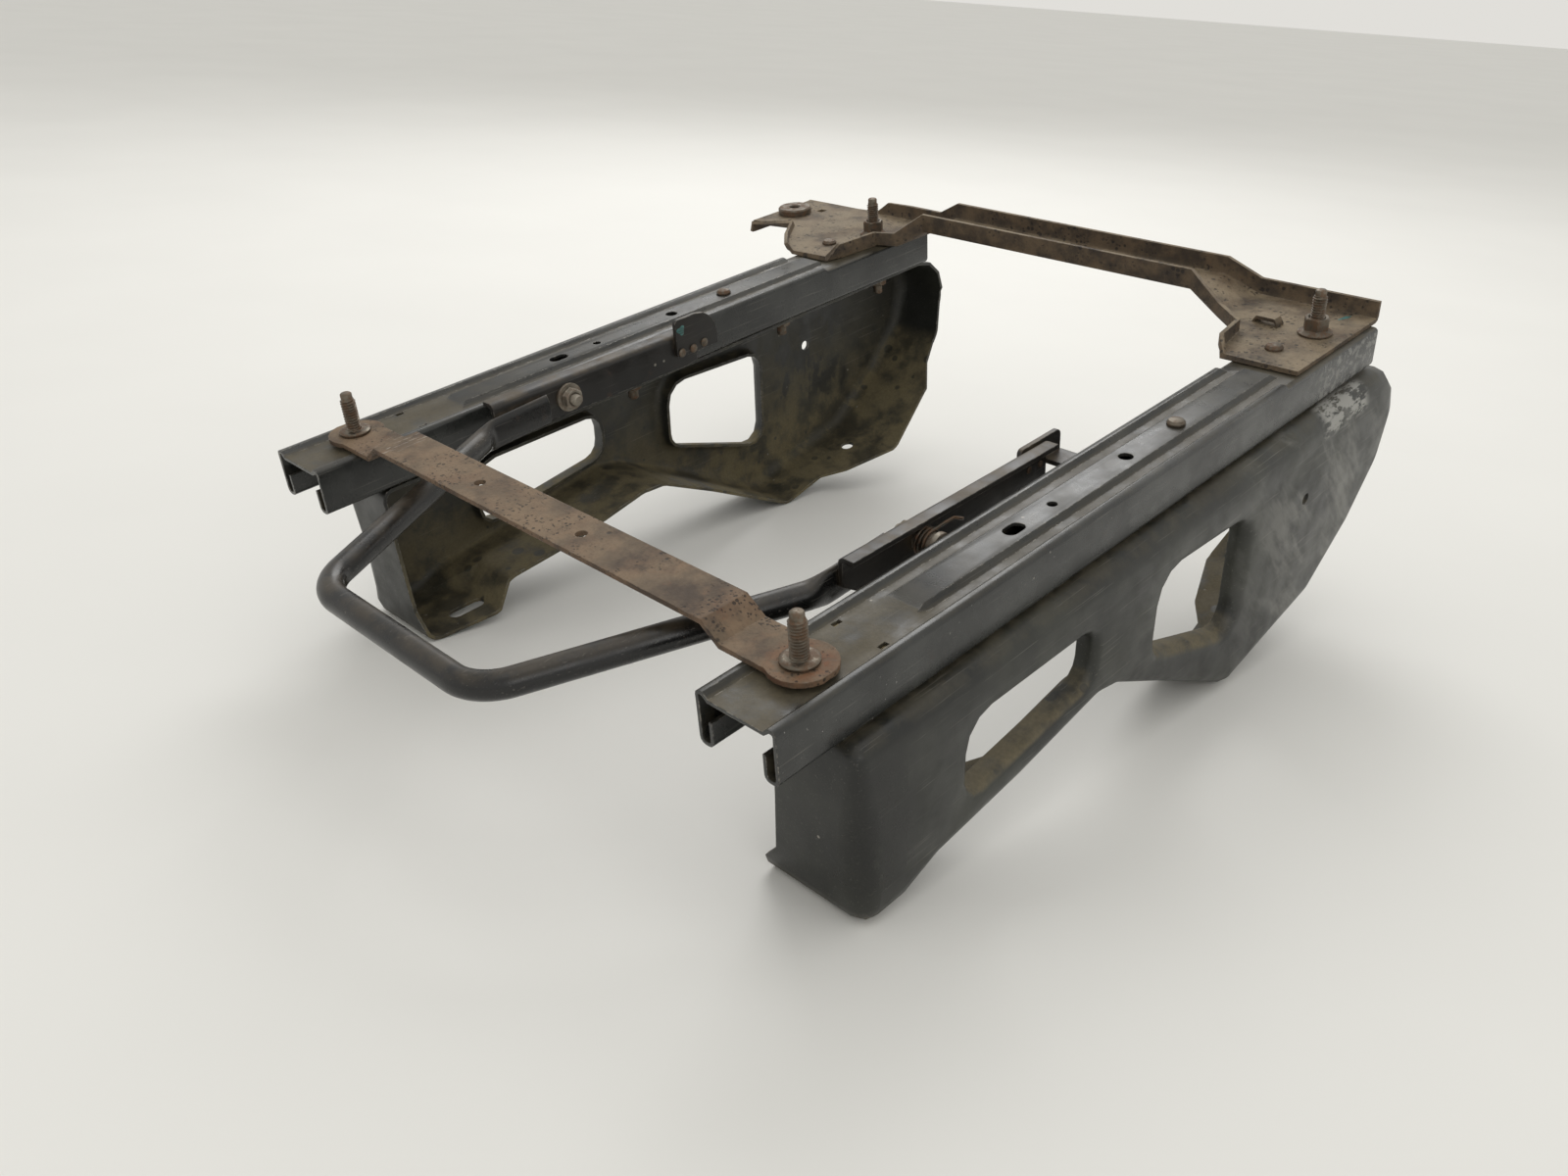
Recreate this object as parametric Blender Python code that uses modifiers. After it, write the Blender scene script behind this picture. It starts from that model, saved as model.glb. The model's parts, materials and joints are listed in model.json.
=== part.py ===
"""Seat riser bracket: two pressed risers carrying a pair of seat tracks with their adjuster bar.

Lengths are written in millimetres times MM, so they are metres in the scene. The pieces are built in
the tracks' own frame: X across the seat, Y along the rails towards the rear, Z up, with the rails' top
corners at Z = 0 and their front ends at Y = 0. The whole bracket then stands on its four feet.
"""
import math
from typing import NamedTuple

import bmesh
import bpy
from mathutils import Matrix, Vector

MM = 0.001
GAP = 0.3 * MM                      # left between pieces that touch


class NutSize(NamedTuple):
    """A hexagon nut with a round flange, measured across its flats."""
    flats: float
    height: float
    flange: float
    flange_height: float



# Upper rails
RAIL_SPACING = 400 * MM             # between the rails' centre lines
RAIL_WIDTH = 52 * MM
RAIL_LENGTH = 590 * MM
RAIL_HEIGHT = 31 * MM
RAIL_SHEET = 2 * MM
CORNER_RADIUS = 3 * MM
RIDGE_WIDTH = 5 * MM                # flat ridge along each top corner
GROOVE_DEPTH = 3 * MM
GROOVE_FLAT = 5 * MM
GROOVE_SLOPE = 3.5 * MM
PAD_START = 120 * MM                # raised pad between the grooves
PAD_END = 468 * MM
PAD_RUNOUT = 5 * MM
RIDGE_END = 459 * MM                # behind it the corners are planed down
RIDGE_CUT = 4 * MM
CURL_WIDTH = 9.5 * MM
CURL_HEIGHT = 15 * MM
CURL_RADIUS = 3.6 * MM

# Holes in the upper rails' pads
OBLONG_Y = 206 * MM
OBLONG_LENGTH = 15 * MM
OBLONG_WIDTH = 9 * MM
PILOT_Y = 241 * MM
PILOT_DIAMETER = 6 * MM
TAPPED_Y = 314 * MM
TAPPED_DIAMETER = 9 * MM
DIMPLE_Y = 83 * MM
DIMPLE_LENGTH = 6 * MM
DIMPLE_WIDTH = 3 * MM

# Lower rails, inside the upper ones
LOWER_SHEET = 2 * MM
LOWER_FRONT = 44 * MM
LOWER_BACK = 586 * MM
LOWER_BASE_WIDTH = 24 * MM
LOWER_DROP = 2.3 * MM               # how far the base stands below the curls
LOWER_BEND = 2.5 * MM
RACK_PITCH = 12 * MM
RACK_FORWARD = 9                    # slots ahead of the latch's front tooth
RACK_REARWARD = 7                   # slots behind it
RACK_SLOT_WIDTH = 6 * MM
RACK_SLOT_HEIGHT = 6 * MM

# Nylon glides between the rails
GLIDE_PAD = 1.6 * MM
SHOE_GRIP = 14 * MM
GLIDE_LENGTH = 36 * MM
GLIDE_FRONT = 70 * MM
GLIDE_BACK = 500 * MM

# Risers
RISER_SHEET = 2.5 * MM
WEB_OFFSET = 36 * MM                # rail centre line to the web's outer face
BEND_STEPS = 3
RING_DEPTH = 14 * MM                # depth of the drawn rims round the openings
SLOT_RIM_BEND = 6 * MM
WINDOW_RIM_BEND = 9 * MM
FLARE_OFFSET = 5 * MM               # where the foot's flange has flared to its full width
FOOT_SLOT_Y = 83 * MM
FOOT_SLOT_OFFSET = -17 * MM
FOOT_SLOT_LENGTH = 28 * MM
FOOT_SLOT_WIDTH = 11 * MM
FOOT_HOLE_Y = 502 * MM
FOOT_HOLE_OFFSET = -2 * MM
FOOT_HOLE_DIAMETER = 11 * MM
WEB_HOLE_Y = 490 * MM
WEB_HOLE_Z = -91 * MM
WEB_HOLE_DIAMETER = 8.5 * MM

# Bolts that hold each lower rail to its riser
BOLT_PLACES = (104 * MM, 268 * MM, 430 * MM, 552 * MM)
BOLT_DIAMETER = 8 * MM
BOLT_HEAD_DIAMETER = 15 * MM
BOLT_HEAD_HEIGHT = 4.5 * MM
BOLT_NUT = NutSize(13 * MM, 9 * MM, 18 * MM, 1.8 * MM)
BOLT_TAIL = 8 * MM

# Front strap
STRAP_THICKNESS = 3 * MM
STRAP_WIDTH = 31 * MM
STRAP_END_RADIUS = 18 * MM
STRAP_Y = 43.5 * MM
STRAP_RISE = 9 * MM
STRAP_JOGGLE = 12 * MM
STRAP_JOGGLE_OFFSET = 40 * MM       # from the rail's centre line to the joggle's foot
STRAP_HOLE_DIAMETER = 7 * MM
STRAP_HOLES = (-57 * MM, 38 * MM)

# Studs on the upper rails
STUD_DIAMETER = 9.7 * MM
STUD_TIP = 7.4 * MM
STUD_TIP_LENGTH = 4 * MM
STUD_HEAD_DIAMETER = 15 * MM
STUD_HEAD_HEIGHT = 2.2 * MM
FRONT_STUD_Y = 42.5 * MM
FRONT_STUD_TOP = 30.8 * MM
FRONT_COLLAR_DIAMETER = 20 * MM
FRONT_COLLAR_HEIGHT = 2.4 * MM
REAR_STUD_Y = 548 * MM
REAR_STUD_TOP = 31.5 * MM
REAR_NUT = NutSize(15 * MM, 12 * MM, 23 * MM, 3 * MM)
RAIL_RIVET_Y = 369 * MM
RAIL_RIVET_HEAD = 11.5 * MM
RAIL_RIVET_SHANK = 6 * MM
RAIL_RIVET_HEIGHT = 3.2 * MM

# Rear cross channel
CHANNEL_SHEET = 3 * MM
CHANNEL_RISE = 9.7 * MM             # from the plates up to the middle
CHANNEL_BEND = 4 * MM
EAR_HOOK = 7 * MM                   # lip turned down along the ear's end
EAR_HOLE = 7 * MM
EAR_HOLE_X = -287 * MM
EAR_HOLE_BACK = 27 * MM             # behind the rear studs, as the next places are
FLOOR_SLOT_LENGTH = 16 * MM
FLOOR_SLOT_WIDTH = 7 * MM
FLOOR_SLOTS = ((-122 * MM, 32 * MM), (72 * MM, 32 * MM))
ANCHOR_X = -304 * MM
ANCHOR_BACK = 9 * MM
ANCHOR_DIAMETER = 30 * MM
ANCHOR_HOLE = 9 * MM
ANCHOR_HEIGHT = 5.5 * MM
PLATE_RIVET_AHEAD = 40 * MM          # in front of the rear studs
PLATE_RIVET_OFFSETS = {"right": -9 * MM, "left": 15 * MM}
PLATE_RIVET_HEAD = 12 * MM
PLATE_RIVET_SHANK = 6 * MM
PLATE_RIVET_HEIGHT = 3.4 * MM

# Adjuster bar and its arms
BAR_DIAMETER = 16 * MM
BAR_WALL = 1.6 * MM
BAR_FRONT = 56 * MM                 # ahead of the rails' front ends
BAR_FRONT_Z = -18 * MM
BAR_FRONT_HALF = 75 * MM
BAR_CORNER_RADIUS = 30 * MM
BAR_KNEE_Y = 108 * MM
BAR_KNEE_Z = -11 * MM
BAR_KNEE_RADIUS = 45 * MM
BAR_END_Y = 158 * MM
BAR_END_Z = -9 * MM
BAR_CRUSH = 15 * MM                 # length over which each end is flattened
BAR_CRUSH_CLEARANCE = 4 * MM
BAR_END_THICKNESS = 6.5 * MM
BAR_END_HEIGHT = 21 * MM
PIVOT_Y = 178 * MM
PIVOT_Z = -8 * MM
ARM_SHEET = 3 * MM
ARM_SPACE = 17 * MM                 # between the rail's wall and the arm
ARM_FRONT = 118 * MM
ARM_BACK = 297 * MM
ARM_HEIGHT = 26 * MM
ARM_FLANGE = 8 * MM
ARM_RISE = -2 * MM                  # from the pivot to the arm's rear end
PIVOT_DIAMETER = 8 * MM
PIVOT_COLLAR_DIAMETER = 16 * MM
PIVOT_COLLAR_HEIGHT = 3 * MM
PIVOT_TAIL = 4 * MM
SHOULDER_DIAMETER = 13 * MM
PIVOT_WASHER_DIAMETER = 20 * MM
PIVOT_WASHER_HEIGHT = 1.6 * MM
PIVOT_NUT = NutSize(13 * MM, 5.5 * MM, 14 * MM, 0.8 * MM)
SPRING_WIRE = 2 * MM
SPRING_TURNS = 3
SPRING_LEG = 30 * MM
SPRING_LEG_RISE = 0.5 * MM

# Latch plates riveted to the arms
LATCH_SHEET = 3 * MM
LATCH_FRONT = 276 * MM
LATCH_BACK = 316 * MM
LATCH_CROWN = 12 * MM               # the left one stands above its arm
LATCH_TONGUE_Z = -10.5 * MM
LATCH_TONGUE_LENGTH = 22 * MM
LATCH_TOOTH_WIDTH = 5 * MM
LATCH_TEETH = 2
LATCH_SWING = 12 * MM               # height left in the rail's wall for the teeth
LATCH_ROOT = 3 * MM                 # from the teeth's roots to the rail's wall
LATCH_TIP_GAP = 0.6 * MM            # between the teeth and the rack
WINDOW_CLEARANCE = 2.5 * MM
LATCH_RIVETS = (280 * MM, 291 * MM)
LATCH_RIVET_HEAD = 6.5 * MM
LATCH_RIVET_SHANK = 4 * MM
LATCH_RIVET_HEIGHT = 1.6 * MM

# Values that follow from the ones above
HALF_WIDTH = RAIL_WIDTH / 2
HALF_SPACING = RAIL_SPACING / 2
CURL_SPACE = CURL_WIDTH - 2 * RAIL_SHEET
RAIL_SEAT = -GROOVE_DEPTH           # level of the rails' lower top faces
LOWER_BOTTOM = -RAIL_HEIGHT - LOWER_DROP
LOWER_TOP = RAIL_SEAT - RAIL_SHEET - GLIDE_PAD - 2 * GAP
HOOK_CENTRE = HALF_WIDTH - RAIL_SHEET - CURL_SPACE / 2
HOOK_BOTTOM = -RAIL_HEIGHT + RAIL_SHEET + GLIDE_PAD + 2 * GAP
RISER_TOP = LOWER_BOTTOM - GAP
ARM_OUTER = HALF_SPACING - HALF_WIDTH - ARM_SPACE
ARM_INNER = ARM_OUTER - ARM_SHEET
ARM_TOP = PIVOT_Z + ARM_HEIGHT / 2 + 1 * MM

COLOURS = {
    "black_paint": ((0.022, 0.022, 0.021), 0.35, 0.0),
    "dusty_paint": ((0.050, 0.046, 0.038), 0.55, 0.0),
    "rusty_steel": ((0.135, 0.085, 0.055), 0.80, 0.3),
    "dull_steel": ((0.170, 0.140, 0.110), 0.55, 0.8),
    "nylon": ((0.600, 0.580, 0.520), 0.45, 0.0),
}


def clear_scene():
    for obj in list(bpy.data.objects):
        bpy.data.objects.remove(obj)


def make_collection(name):
    collection = bpy.data.collections.new(name)
    bpy.context.scene.collection.children.link(collection)
    return collection


def make_materials():
    materials = {}
    for name, (colour, roughness, metallic) in COLOURS.items():
        material = bpy.data.materials.new(name)
        material.use_nodes = True
        shader = material.node_tree.nodes["Principled BSDF"]
        shader.inputs["Base Color"].default_value = (*colour, 1.0)
        shader.inputs["Roughness"].default_value = roughness
        shader.inputs["Metallic"].default_value = metallic
        materials[name] = material
    return materials


class Workshop:
    """Holds the collections, the materials and the three empties that the pieces hang from."""

    def __init__(self):
        clear_scene()
        self.parts = make_collection("seat_riser_bracket")
        self.cutters = make_collection("cutters")
        self.materials = make_materials()
        self.stand = self.add_empty("stand", None, (0, 0, 0))
        self.carriage = self.add_empty("carriage", self.stand, (0, 0, 0))
        self.lever = self.add_empty("lever", self.carriage, (0, PIVOT_Y, PIVOT_Z))

    def add_empty(self, name, parent, place):
        empty = bpy.data.objects.new(name, None)
        empty.empty_display_size = 20 * MM
        self.parts.objects.link(empty)
        empty.parent = parent
        empty.location = place
        return empty

    def node(self, name, data, material, parent, origin):
        """Adds an object whose data is already measured from origin, a point of the tracks' frame."""
        obj = bpy.data.objects.new(name, data)
        self.parts.objects.link(obj)
        obj.parent = parent
        obj.location = Vector(origin) - (self.lever.location if parent is self.lever else Vector())
        data.materials.append(self.materials[material])
        return obj

    def piece(self, name, bm, material, parent=None, origin=(0, 0, 0), sheet=0.0, offset=-1.0, smooth=True):
        """Adds a node made of bm, thickened by a Solidify modifier where sheet is given."""
        bmesh.ops.translate(bm, verts=bm.verts, vec=-Vector(origin))
        mesh = bpy.data.meshes.new(name)
        bm.to_mesh(mesh)
        bm.free()
        obj = self.node(name, mesh, material, parent or self.stand, origin)
        if sheet:
            solidify = obj.modifiers.new("sheet", "SOLIDIFY")
            solidify.thickness = sheet
            solidify.offset = offset
            solidify.use_even_offset = True
        if smooth:
            mesh.shade_smooth()
            mesh.set_sharp_from_angle(angle=math.radians(35))
        return obj

    def cut(self, obj, bm, name, operation="DIFFERENCE"):
        """Cuts the shape bm out of obj with a Boolean."""
        mesh = bpy.data.meshes.new(name)
        bm.to_mesh(mesh)
        bm.free()
        cutter = bpy.data.objects.new(name, mesh)
        self.cutters.objects.link(cutter)
        cutter.parent = self.stand
        cutter.hide_render = True
        cutter.display_type = "WIRE"
        boolean = obj.modifiers.new(name, "BOOLEAN")
        boolean.operation = operation
        boolean.solver = "EXACT"
        boolean.object = cutter

    def join_solid(self, obj, bm, name):
        """Welds the shape bm to obj with a Boolean."""
        self.cut(obj, bm, name, "UNION")


def add_box(bm, low, high):
    """Adds a box between two corners."""
    low = Vector(low)
    high = Vector(high)
    size = high - low
    scale = Matrix.Diagonal((abs(size.x), abs(size.y), abs(size.z), 1))
    matrix = Matrix.Translation((low + high) / 2) @ scale
    bmesh.ops.create_cube(bm, size=1, matrix=matrix)


def add_drum(bm, start, end, radius, end_radius=None, segments=20):
    """Adds a cylinder or cone frustum from start to end."""
    start = Vector(start)
    end = Vector(end)
    along = end - start
    turn = Vector((0, 0, 1)).rotation_difference(along).to_matrix().to_4x4()
    bmesh.ops.create_cone(
        bm, cap_ends=True, cap_tris=False, segments=segments, radius1=radius,
        radius2=radius if end_radius is None else end_radius, depth=along.length,
        matrix=Matrix.Translation((start + end) / 2) @ turn)


def add_turned(bm, foot, axis, profile, segments=20):
    """Spins a profile of (radius, height) points round axis; it starts and ends on the axis."""
    shape = bmesh.new()
    verts = [shape.verts.new((radius, 0, height)) for radius, height in profile]
    edges = [shape.edges.new(pair) for pair in zip(verts, verts[1:])]
    bmesh.ops.spin(shape, geom=verts + edges, cent=(0, 0, 0), axis=(0, 0, 1), dvec=(0, 0, 0),
                   angle=2 * math.pi, steps=segments, use_merge=True)
    bmesh.ops.remove_doubles(shape, verts=shape.verts, dist=0.01 * MM)
    turn = Vector((0, 0, 1)).rotation_difference(Vector(axis)).to_matrix().to_4x4()
    bmesh.ops.transform(shape, verts=shape.verts, matrix=Matrix.Translation(foot) @ turn)
    bmesh.ops.recalc_face_normals(shape, faces=shape.faces)
    join(bm, shape)


def add_hex_nut(bm, foot, axis, size, bore, segments=12):
    """Adds a hexagon nut with a round flange and a plain bore, from its seat up along axis."""
    turn = Matrix.Translation(foot) @ Vector((0, 0, 1)).rotation_difference(Vector(axis)).to_matrix().to_4x4()

    def ring(reach, level):
        angles = [2 * math.pi * k / segments for k in range(segments)]
        return [turn @ Vector((reach(a) * math.cos(a), reach(a) * math.sin(a), level)) for a in angles]

    def hexagon(angle):
        nearest = (math.floor(angle / (math.pi / 3)) + 0.5) * math.pi / 3
        return size.flats / 2 / math.cos(angle - nearest)

    shape = bmesh.new()
    add_loft(shape, [
        ring(lambda angle: bore, 0.0),
        ring(lambda angle: size.flange / 2, 0.0),
        ring(lambda angle: size.flange / 2, size.flange_height * 0.6),
        ring(hexagon, size.flange_height),
        ring(hexagon, size.height - 1 * MM),
        ring(lambda angle: size.flats / 2, size.height),
        ring(lambda angle: bore, size.height),
    ], closed=True, looped=True)
    bmesh.ops.recalc_face_normals(shape, faces=shape.faces)
    join(bm, shape)


def join(bm, shape):
    """Moves the mesh of shape into bm."""
    mesh = bpy.data.meshes.new("shape")
    shape.to_mesh(mesh)
    shape.free()
    bm.from_mesh(mesh)
    bpy.data.meshes.remove(mesh)


def add_loft(bm, sections, closed=False, looped=False):
    """Joins rows of points into a surface; closed joins each row's ends, looped the last row to the first."""
    rows = [[bm.verts.new(point) for point in section] for section in sections]
    for row, following in zip(rows, rows[1:] + (rows[:1] if looped else [])):
        count = len(row) if closed else len(row) - 1
        for k in range(count):
            after = (k + 1) % len(row)
            bm.faces.new((row[k], row[after], following[after], following[k]))
    return rows


def add_prism(bm, outline, start, end, place):
    """Extrudes a flat outline between two stations; place turns (a, b, station) into a point."""
    shape = bmesh.new()
    face = shape.faces.new([shape.verts.new(place(a, b, start)) for a, b in outline])
    travel = Vector(place(*outline[0], end)) - Vector(place(*outline[0], start))
    bulk = bmesh.ops.extrude_face_region(shape, geom=[face])
    moved = [item for item in bulk["geom"] if isinstance(item, bmesh.types.BMVert)]
    bmesh.ops.translate(shape, verts=moved, vec=travel)
    bmesh.ops.recalc_face_normals(shape, faces=shape.faces)
    join(bm, shape)


def fillet(before, corner, after, radius, steps):
    """Points of the arc that rounds a corner of a flat path, each with the normal on its right side."""
    into = (corner - before).normalized()
    out = (after - corner).normalized()
    turn = -into.angle_signed(out)
    if radius <= 0 or abs(turn) < 1e-6:
        middle = (into + out).normalized()
        return [(corner, Vector((middle.y, -middle.x)))]
    left = 1 if turn > 0 else -1
    first = corner - into * radius * math.tan(abs(turn) / 2)
    centre = first + Vector((-into.y, into.x)) * radius * left
    points = []
    for k in range(steps + 1):
        spoke = Matrix.Rotation(turn * k / steps, 2) @ (first - centre)
        points.append((centre + spoke, spoke.normalized() * left))
    return points


def rounded_path(corners, steps=3):
    """An open flat path through (a, b, radius) corners, with its inner corners rounded."""
    flat = [Vector((a, b)) for a, b, _ in corners]
    points = [flat[0]]
    for k in range(1, len(corners) - 1):
        points += [point for point, _ in fillet(flat[k - 1], flat[k], flat[k + 1], corners[k][2], steps)]
    points.append(flat[-1])
    return points


def rounded_outline(corners, steps=4):
    """A closed flat outline, anticlockwise, through (a, b, radius) corners: points with outward normals."""
    flat = [Vector((a, b)) for a, b, _ in corners]
    points = []
    for k, (_, _, radius) in enumerate(corners):
        points += fillet(flat[k - 1], flat[k], flat[(k + 1) % len(flat)], radius, steps)
    return points


def face_towards(bm, direction):
    """Turns a surface so that its outermost face along direction looks that way."""
    bmesh.ops.recalc_face_normals(bm, faces=bm.faces)
    bm.normal_update()
    facing = [face for face in bm.faces if abs(face.normal.dot(Vector(direction))) > 0.9]
    chosen = max(facing, key=lambda face: face.calc_center_median().dot(Vector(direction)))
    if chosen.normal.dot(Vector(direction)) < 0:
        bmesh.ops.reverse_faces(bm, faces=bm.faces)


def mirrored_pair(builder, shop):
    """Makes a piece for the right side (+X) and one for the left."""
    for side, hand in ((1, "right"), (-1, "left")):
        builder(shop, side, hand)


def rail_point(side, offset, y, z):
    """A point given by its distance outwards from a rail's centre line."""
    return (side * (HALF_SPACING + offset), y, z)


def ramp(value, start, end):
    """Rises from 0 at start to 1 at end."""
    return min(1.0, max(0.0, (value - start) / (end - start)))


# Upper rails


def upper_section(y):
    """Half of an upper rail's outer outline at y, from the centre line out to the curl's tip."""
    raised = ramp(y, PAD_START - PAD_RUNOUT, PAD_START) * (1 - ramp(y, PAD_END, PAD_END + PAD_RUNOUT))
    pad = RAIL_SEAT * (1 - raised)
    ridge = RAIL_SEAT * ramp(y, RIDGE_END, RIDGE_END + RIDGE_CUT)
    groove_outer = HALF_WIDTH - RIDGE_WIDTH - GROOVE_SLOPE
    groove_inner = groove_outer - GROOVE_FLAT
    inner = HALF_WIDTH - CURL_WIDTH
    bottom = -RAIL_HEIGHT
    return rounded_path([
        (0, pad, 0),
        (groove_inner - GROOVE_SLOPE, pad, 0),
        (groove_inner, -GROOVE_DEPTH, 0),
        (groove_outer, -GROOVE_DEPTH, 0),
        (HALF_WIDTH - RIDGE_WIDTH, ridge, 0),
        (HALF_WIDTH, ridge, CORNER_RADIUS),
        (HALF_WIDTH, bottom, CURL_RADIUS),
        (inner, bottom, CURL_RADIUS),
        (inner, bottom + CURL_HEIGHT, 0),
    ])


def build_upper_rail(shop, side, hand):
    stations = sorted({
        0.0, PAD_START - PAD_RUNOUT, PAD_START, PAD_END, PAD_END + PAD_RUNOUT,
        RIDGE_END, RIDGE_END + RIDGE_CUT, RAIL_LENGTH})
    sections = []
    for y in stations:
        half = upper_section(y)
        row = [rail_point(side, -point.x, y, point.y) for point in reversed(half)]
        row += [rail_point(side, point.x, y, point.y) for point in half[1:]]
        sections.append(row)
    bm = bmesh.new()
    add_loft(bm, sections)
    face_towards(bm, (0, 0, 1))
    rail = shop.piece(hand + "_upper_rail", bm, "black_paint", shop.carriage, rail_point(side, 0, 0, 0),
                      sheet=RAIL_SHEET)

    holes = bmesh.new()
    reach = OBLONG_LENGTH / 2 - OBLONG_WIDTH / 2
    add_slot(holes, side * HALF_SPACING, OBLONG_Y, reach, OBLONG_WIDTH / 2, -GROOVE_DEPTH * 2, 2 * MM)
    for y, radius in (
            (PILOT_Y, PILOT_DIAMETER / 2), (TAPPED_Y, TAPPED_DIAMETER / 2),
            (RAIL_RIVET_Y, RAIL_RIVET_SHANK / 2 + GAP), (FRONT_STUD_Y, STUD_DIAMETER / 2 + GAP),
            (REAR_STUD_Y, STUD_DIAMETER / 2 + GAP)):
        add_drum(holes, (side * HALF_SPACING, y, -GROOVE_DEPTH * 2), (side * HALF_SPACING, y, 2 * MM), radius)
    rivet_offset = PLATE_RIVET_OFFSETS[hand]
    add_drum(holes, rail_point(side, rivet_offset, REAR_STUD_Y - PLATE_RIVET_AHEAD, -GROOVE_DEPTH * 2),
             rail_point(side, rivet_offset, REAR_STUD_Y - PLATE_RIVET_AHEAD, 2 * MM),
             PLATE_RIVET_SHANK / 2 + GAP)
    shop.cut(rail, holes, hand + "_rail_holes")

    windows = bmesh.new()
    groove_centre = HALF_WIDTH - RIDGE_WIDTH - GROOVE_SLOPE - GROOVE_FLAT / 2
    for dimple in (-groove_centre, groove_centre):
        add_box(windows,
                rail_point(side, dimple - DIMPLE_WIDTH / 2, DIMPLE_Y - DIMPLE_LENGTH / 2, -GROOVE_DEPTH * 2),
                rail_point(side, dimple + DIMPLE_WIDTH / 2, DIMPLE_Y + DIMPLE_LENGTH / 2, 1 * MM))
    first = tooth_place(0) - LATCH_TOOTH_WIDTH / 2 - WINDOW_CLEARANCE
    last = tooth_place(LATCH_TEETH - 1) + LATCH_TOOTH_WIDTH / 2 + WINDOW_CLEARANCE
    add_box(windows,
            rail_point(side, -HALF_WIDTH - 1 * MM, first, LATCH_TONGUE_Z - LATCH_SWING - LATCH_SHEET / 2),
            rail_point(side, -HALF_WIDTH + RAIL_SHEET + CURL_SPACE / 2, last,
                       LATCH_TONGUE_Z + LATCH_SHEET / 2 + WINDOW_CLEARANCE))
    shop.cut(rail, windows, hand + "_rail_windows")


def add_slot(bm, x, y, reach, radius, bottom, top):
    """Adds a round-ended bar along Y, as a cutter for an oblong hole."""
    outline = []
    for k in range(17):
        angle = math.pi * k / 16
        outline.append((x + radius * math.cos(angle), y + reach + radius * math.sin(angle)))
    for k in range(17):
        angle = math.pi + math.pi * k / 16
        outline.append((x + radius * math.cos(angle), y - reach + radius * math.sin(angle)))
    add_prism(bm, outline, bottom, top, lambda a, b, station: (a, b, station))


# Lower rails, with the lock's row of slots


def tooth_place(k):
    """Y of a latch tooth's centre."""
    return LATCH_BACK - LATCH_TOOTH_WIDTH / 2 - (LATCH_TEETH - 1 - k) * RACK_PITCH


def build_lower_rail(shop, side, hand):
    half_base = LOWER_BASE_WIDTH / 2 - LOWER_SHEET / 2
    base = LOWER_BOTTOM + LOWER_SHEET / 2
    top = LOWER_TOP - LOWER_SHEET / 2
    half = rounded_path([
        (0, base, 0),
        (half_base, base, LOWER_BEND),
        (half_base, top, LOWER_BEND),
        (HOOK_CENTRE, top, LOWER_BEND),
        (HOOK_CENTRE, HOOK_BOTTOM, 0),
    ])
    sections = []
    for y in (LOWER_FRONT, LOWER_BACK):
        row = [rail_point(side, -point.x, y, point.y) for point in reversed(half)]
        row += [rail_point(side, point.x, y, point.y) for point in half[1:]]
        sections.append(row)
    bm = bmesh.new()
    add_loft(bm, sections)
    face_towards(bm, (0, 0, 1))
    rail = shop.piece(hand + "_lower_rail", bm, "black_paint", origin=rail_point(side, 0, 0, 0),
                      sheet=LOWER_SHEET, offset=0.0)

    holes = bmesh.new()
    for y in BOLT_PLACES:
        add_drum(holes, (side * HALF_SPACING, y, LOWER_BOTTOM - 1 * MM),
                 (side * HALF_SPACING, y, LOWER_BOTTOM + LOWER_SHEET + 1 * MM),
                 BOLT_DIAMETER / 2 + GAP, segments=16)
    shop.cut(rail, holes, hand + "_lower_holes")

    slots = bmesh.new()
    for k in range(-RACK_FORWARD, RACK_REARWARD + 1):
        y = tooth_place(0) + k * RACK_PITCH
        add_box(slots, rail_point(side, -HOOK_CENTRE - LOWER_SHEET, y - RACK_SLOT_WIDTH / 2,
                                  LATCH_TONGUE_Z - RACK_SLOT_HEIGHT / 2),
                rail_point(side, -HOOK_CENTRE + LOWER_SHEET, y + RACK_SLOT_WIDTH / 2,
                           LATCH_TONGUE_Z + RACK_SLOT_HEIGHT / 2))
    shop.cut(rail, slots, hand + "_rack")


def build_glides(shop, side, hand):
    """Nylon glides clipped round the lower rail's hooks, each with a pad that lies on the flange."""
    half = CURL_SPACE / 2 - GAP
    slot = LOWER_SHEET / 2 + GAP
    floor = -RAIL_HEIGHT + RAIL_SHEET + GAP
    top = LOWER_TOP + GAP
    chamfer = CURL_RADIUS / 2
    corner = CORNER_RADIUS / 2
    pad_end = HALF_WIDTH - RIDGE_WIDTH - GROOVE_SLOPE - GROOVE_FLAT - HOOK_CENTRE
    section = [
        (pad_end, top), (slot, top), (slot, HOOK_BOTTOM - GAP), (-slot, HOOK_BOTTOM - GAP),
        (-slot, floor + SHOE_GRIP), (-half, floor + SHOE_GRIP),
        (-half, floor + chamfer), (-half + chamfer, floor),
        (half - chamfer, floor), (half, floor + chamfer), (half, top + GLIDE_PAD - corner),
        (half - corner, top + GLIDE_PAD), (pad_end, top + GLIDE_PAD),
    ]
    for place, middle in (("front", GLIDE_FRONT), ("rear", GLIDE_BACK)):
        for edge, hook in (("inner", -1), ("outer", 1)):
            origin = rail_point(side, hook * HOOK_CENTRE, middle, HOOK_BOTTOM)
            bm = bmesh.new()
            add_prism(bm, section, middle - GLIDE_LENGTH / 2, middle + GLIDE_LENGTH / 2,
                      lambda a, b, station: rail_point(side, hook * (HOOK_CENTRE + a), station, b))
            shop.piece(f"{hand}_glide_{place}_{edge}", bm, "nylon", origin=origin, smooth=False)


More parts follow.
